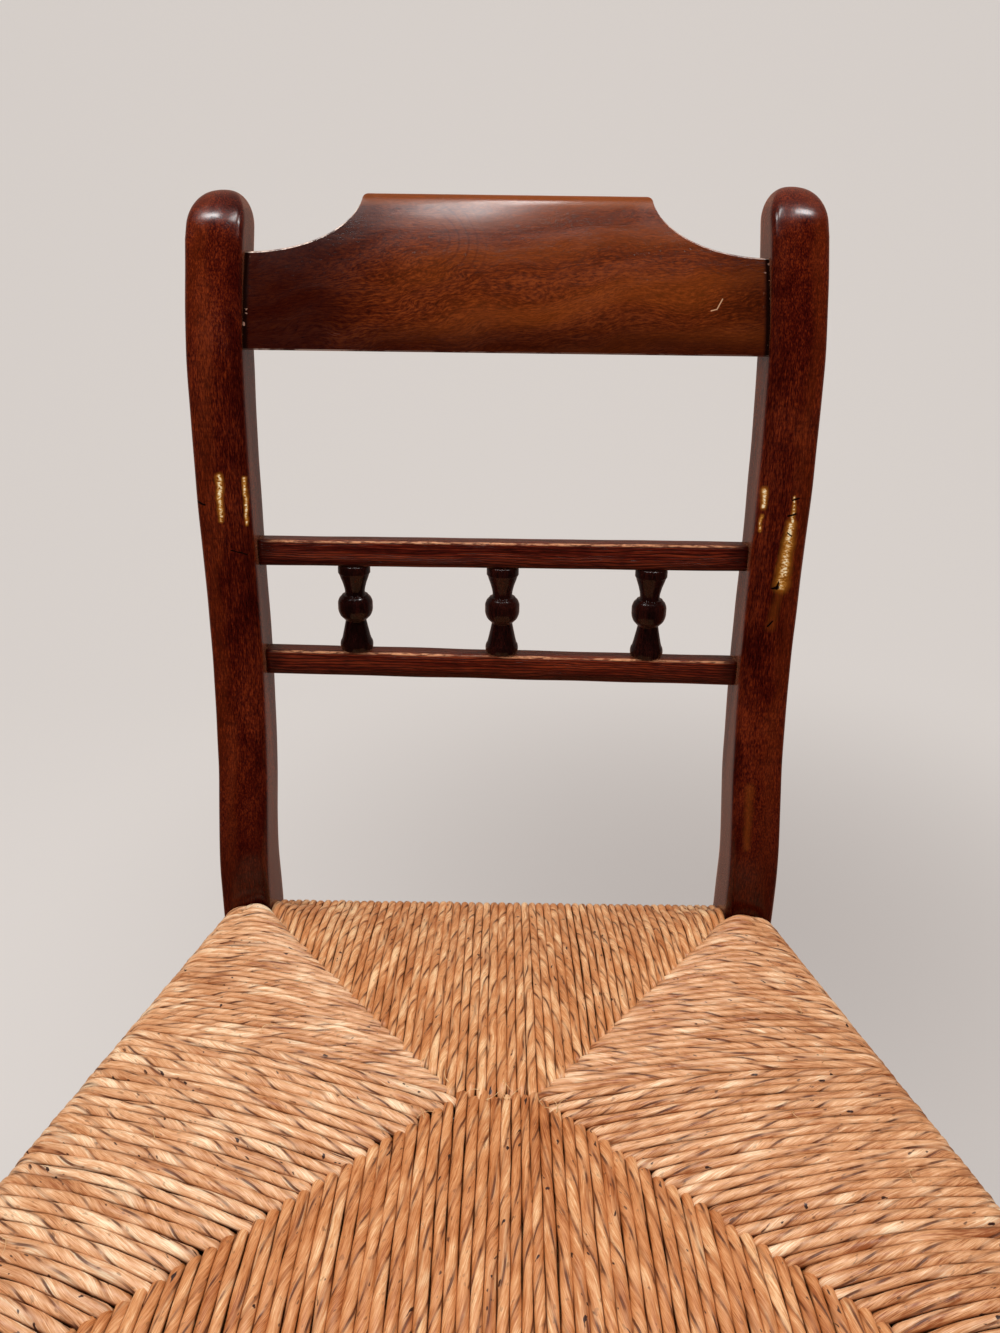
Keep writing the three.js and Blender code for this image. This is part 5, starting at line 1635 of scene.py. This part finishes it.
# %% Light
WORLD_LEVEL, WORLD_WHITE, OVERHEAD_LEVEL = 0.55, (1.0, 0.985, 0.965, 1.0), 0.35
LAMP_BACK, LAMP_HEIGHT, AIM_BACK, AIM_HEIGHT = 0.11, 2.15, 0.1, 0.6
# Name, place across the chair, size across and deep, and power in watts.
ROW_OF_LAMPS = (
    ("lamp_middle", -0.03, (0.42, 0.13), 5.6),
    ("lamp_left", -0.54, (0.2, 0.3), 7.6),
    ("lamp_right", 0.54, (0.2, 0.3), 7.6),
)


def soft_lamp(name, place, aim, size, power):
    """An oblong area lamp at a place, turned to face its aim; size is across and deep."""
    data = bpy.data.lights.new(name, "AREA")
    data.shape = "RECTANGLE"
    data.size, data.size_y = size
    data.energy = power
    lamp = bpy.data.objects.new(name, data)
    lamp.location = place
    lamp.rotation_euler = (Vector(place) - Vector(aim)).to_track_quat("Z", "Y").to_euler()
    bpy.context.scene.collection.objects.link(lamp)
    return lamp


world = bpy.data.worlds.new("pale_room")
bpy.context.scene.world = world
tree = empty_tree(world)
ray_y, ray_z = add(tree, "TexCoord", (), "Generated").parts()[1:]
behind = ray_y.spread(-0.2, 0.5, DIM_ROOM, PALE_ROOM)
overhead = ray_z.spread(0.86, 1.0, 0.0, OVERHEAD_LEVEL)
lit, seen, room = (
    add(tree, "Background", {"Color": colour, "Strength": strength})
    for colour, strength in (
        (WORLD_WHITE, WORLD_LEVEL), (STAGE_COLOUR, 1.0), (STAGE_COLOUR, any_of(behind, overhead))
    )
)
close(by_ray(lit, seen, room), "OutputWorld")
for name, across, size, power in ROW_OF_LAMPS:
    aim = (across / 3, AIM_BACK, AIM_HEIGHT)
    soft_lamp(name, (across, LAMP_BACK, LAMP_HEIGHT), aim, size, power)
fill = soft_lamp("lamp_front", (-0.7, -2.2, 1.9), (0, 0, 0.5), (0.7, 0.7), 13)
fill.visible_glossy = False
print("world level", WORLD_LEVEL, "and", len(ROW_OF_LAMPS) + 1, "lamps")

# %% [markdown]
# The camera looks down at the seat from just above the top of the back, a little in front of
# the front rail. Its place was found by fitting the chair's corners to the photograph. The
# turn is built from pitch, heading and roll, so that each can be read on its own.

# %% Camera
CAMERA_PLACE = (-0.0011, -0.40304, 0.8054)
CAMERA_PITCH, CAMERA_HEADING, CAMERA_ROLL = np.radians((22, 0.02, 0.76)).tolist()
CAMERA_LENS, CAMERA_SENSOR = 27.0068, 36.0
ahead = Vector((
    math.sin(CAMERA_HEADING) * math.cos(CAMERA_PITCH),
    math.cos(CAMERA_HEADING) * math.cos(CAMERA_PITCH),
    -math.sin(CAMERA_PITCH),
))
level_right = Vector((math.cos(CAMERA_HEADING), -math.sin(CAMERA_HEADING), 0))
level_up = level_right.cross(ahead)
right = level_right * math.cos(CAMERA_ROLL) + level_up * math.sin(CAMERA_ROLL)
upward = level_up * math.cos(CAMERA_ROLL) - level_right * math.sin(CAMERA_ROLL)
camera_data = bpy.data.cameras.new("camera")
camera_data.lens = CAMERA_LENS
camera_data.sensor_width = CAMERA_SENSOR
camera = bpy.data.objects.new("camera", camera_data)
turned = Matrix((right, upward, -ahead)).transposed()
camera.matrix_world = Matrix.Translation(CAMERA_PLACE) @ turned.to_4x4()
bpy.context.scene.collection.objects.link(camera)
bpy.context.scene.camera = camera
bpy.context.scene.view_settings.view_transform = "Standard"
print("camera at", CAMERA_PLACE, "pitch", round(math.degrees(CAMERA_PITCH), 1))
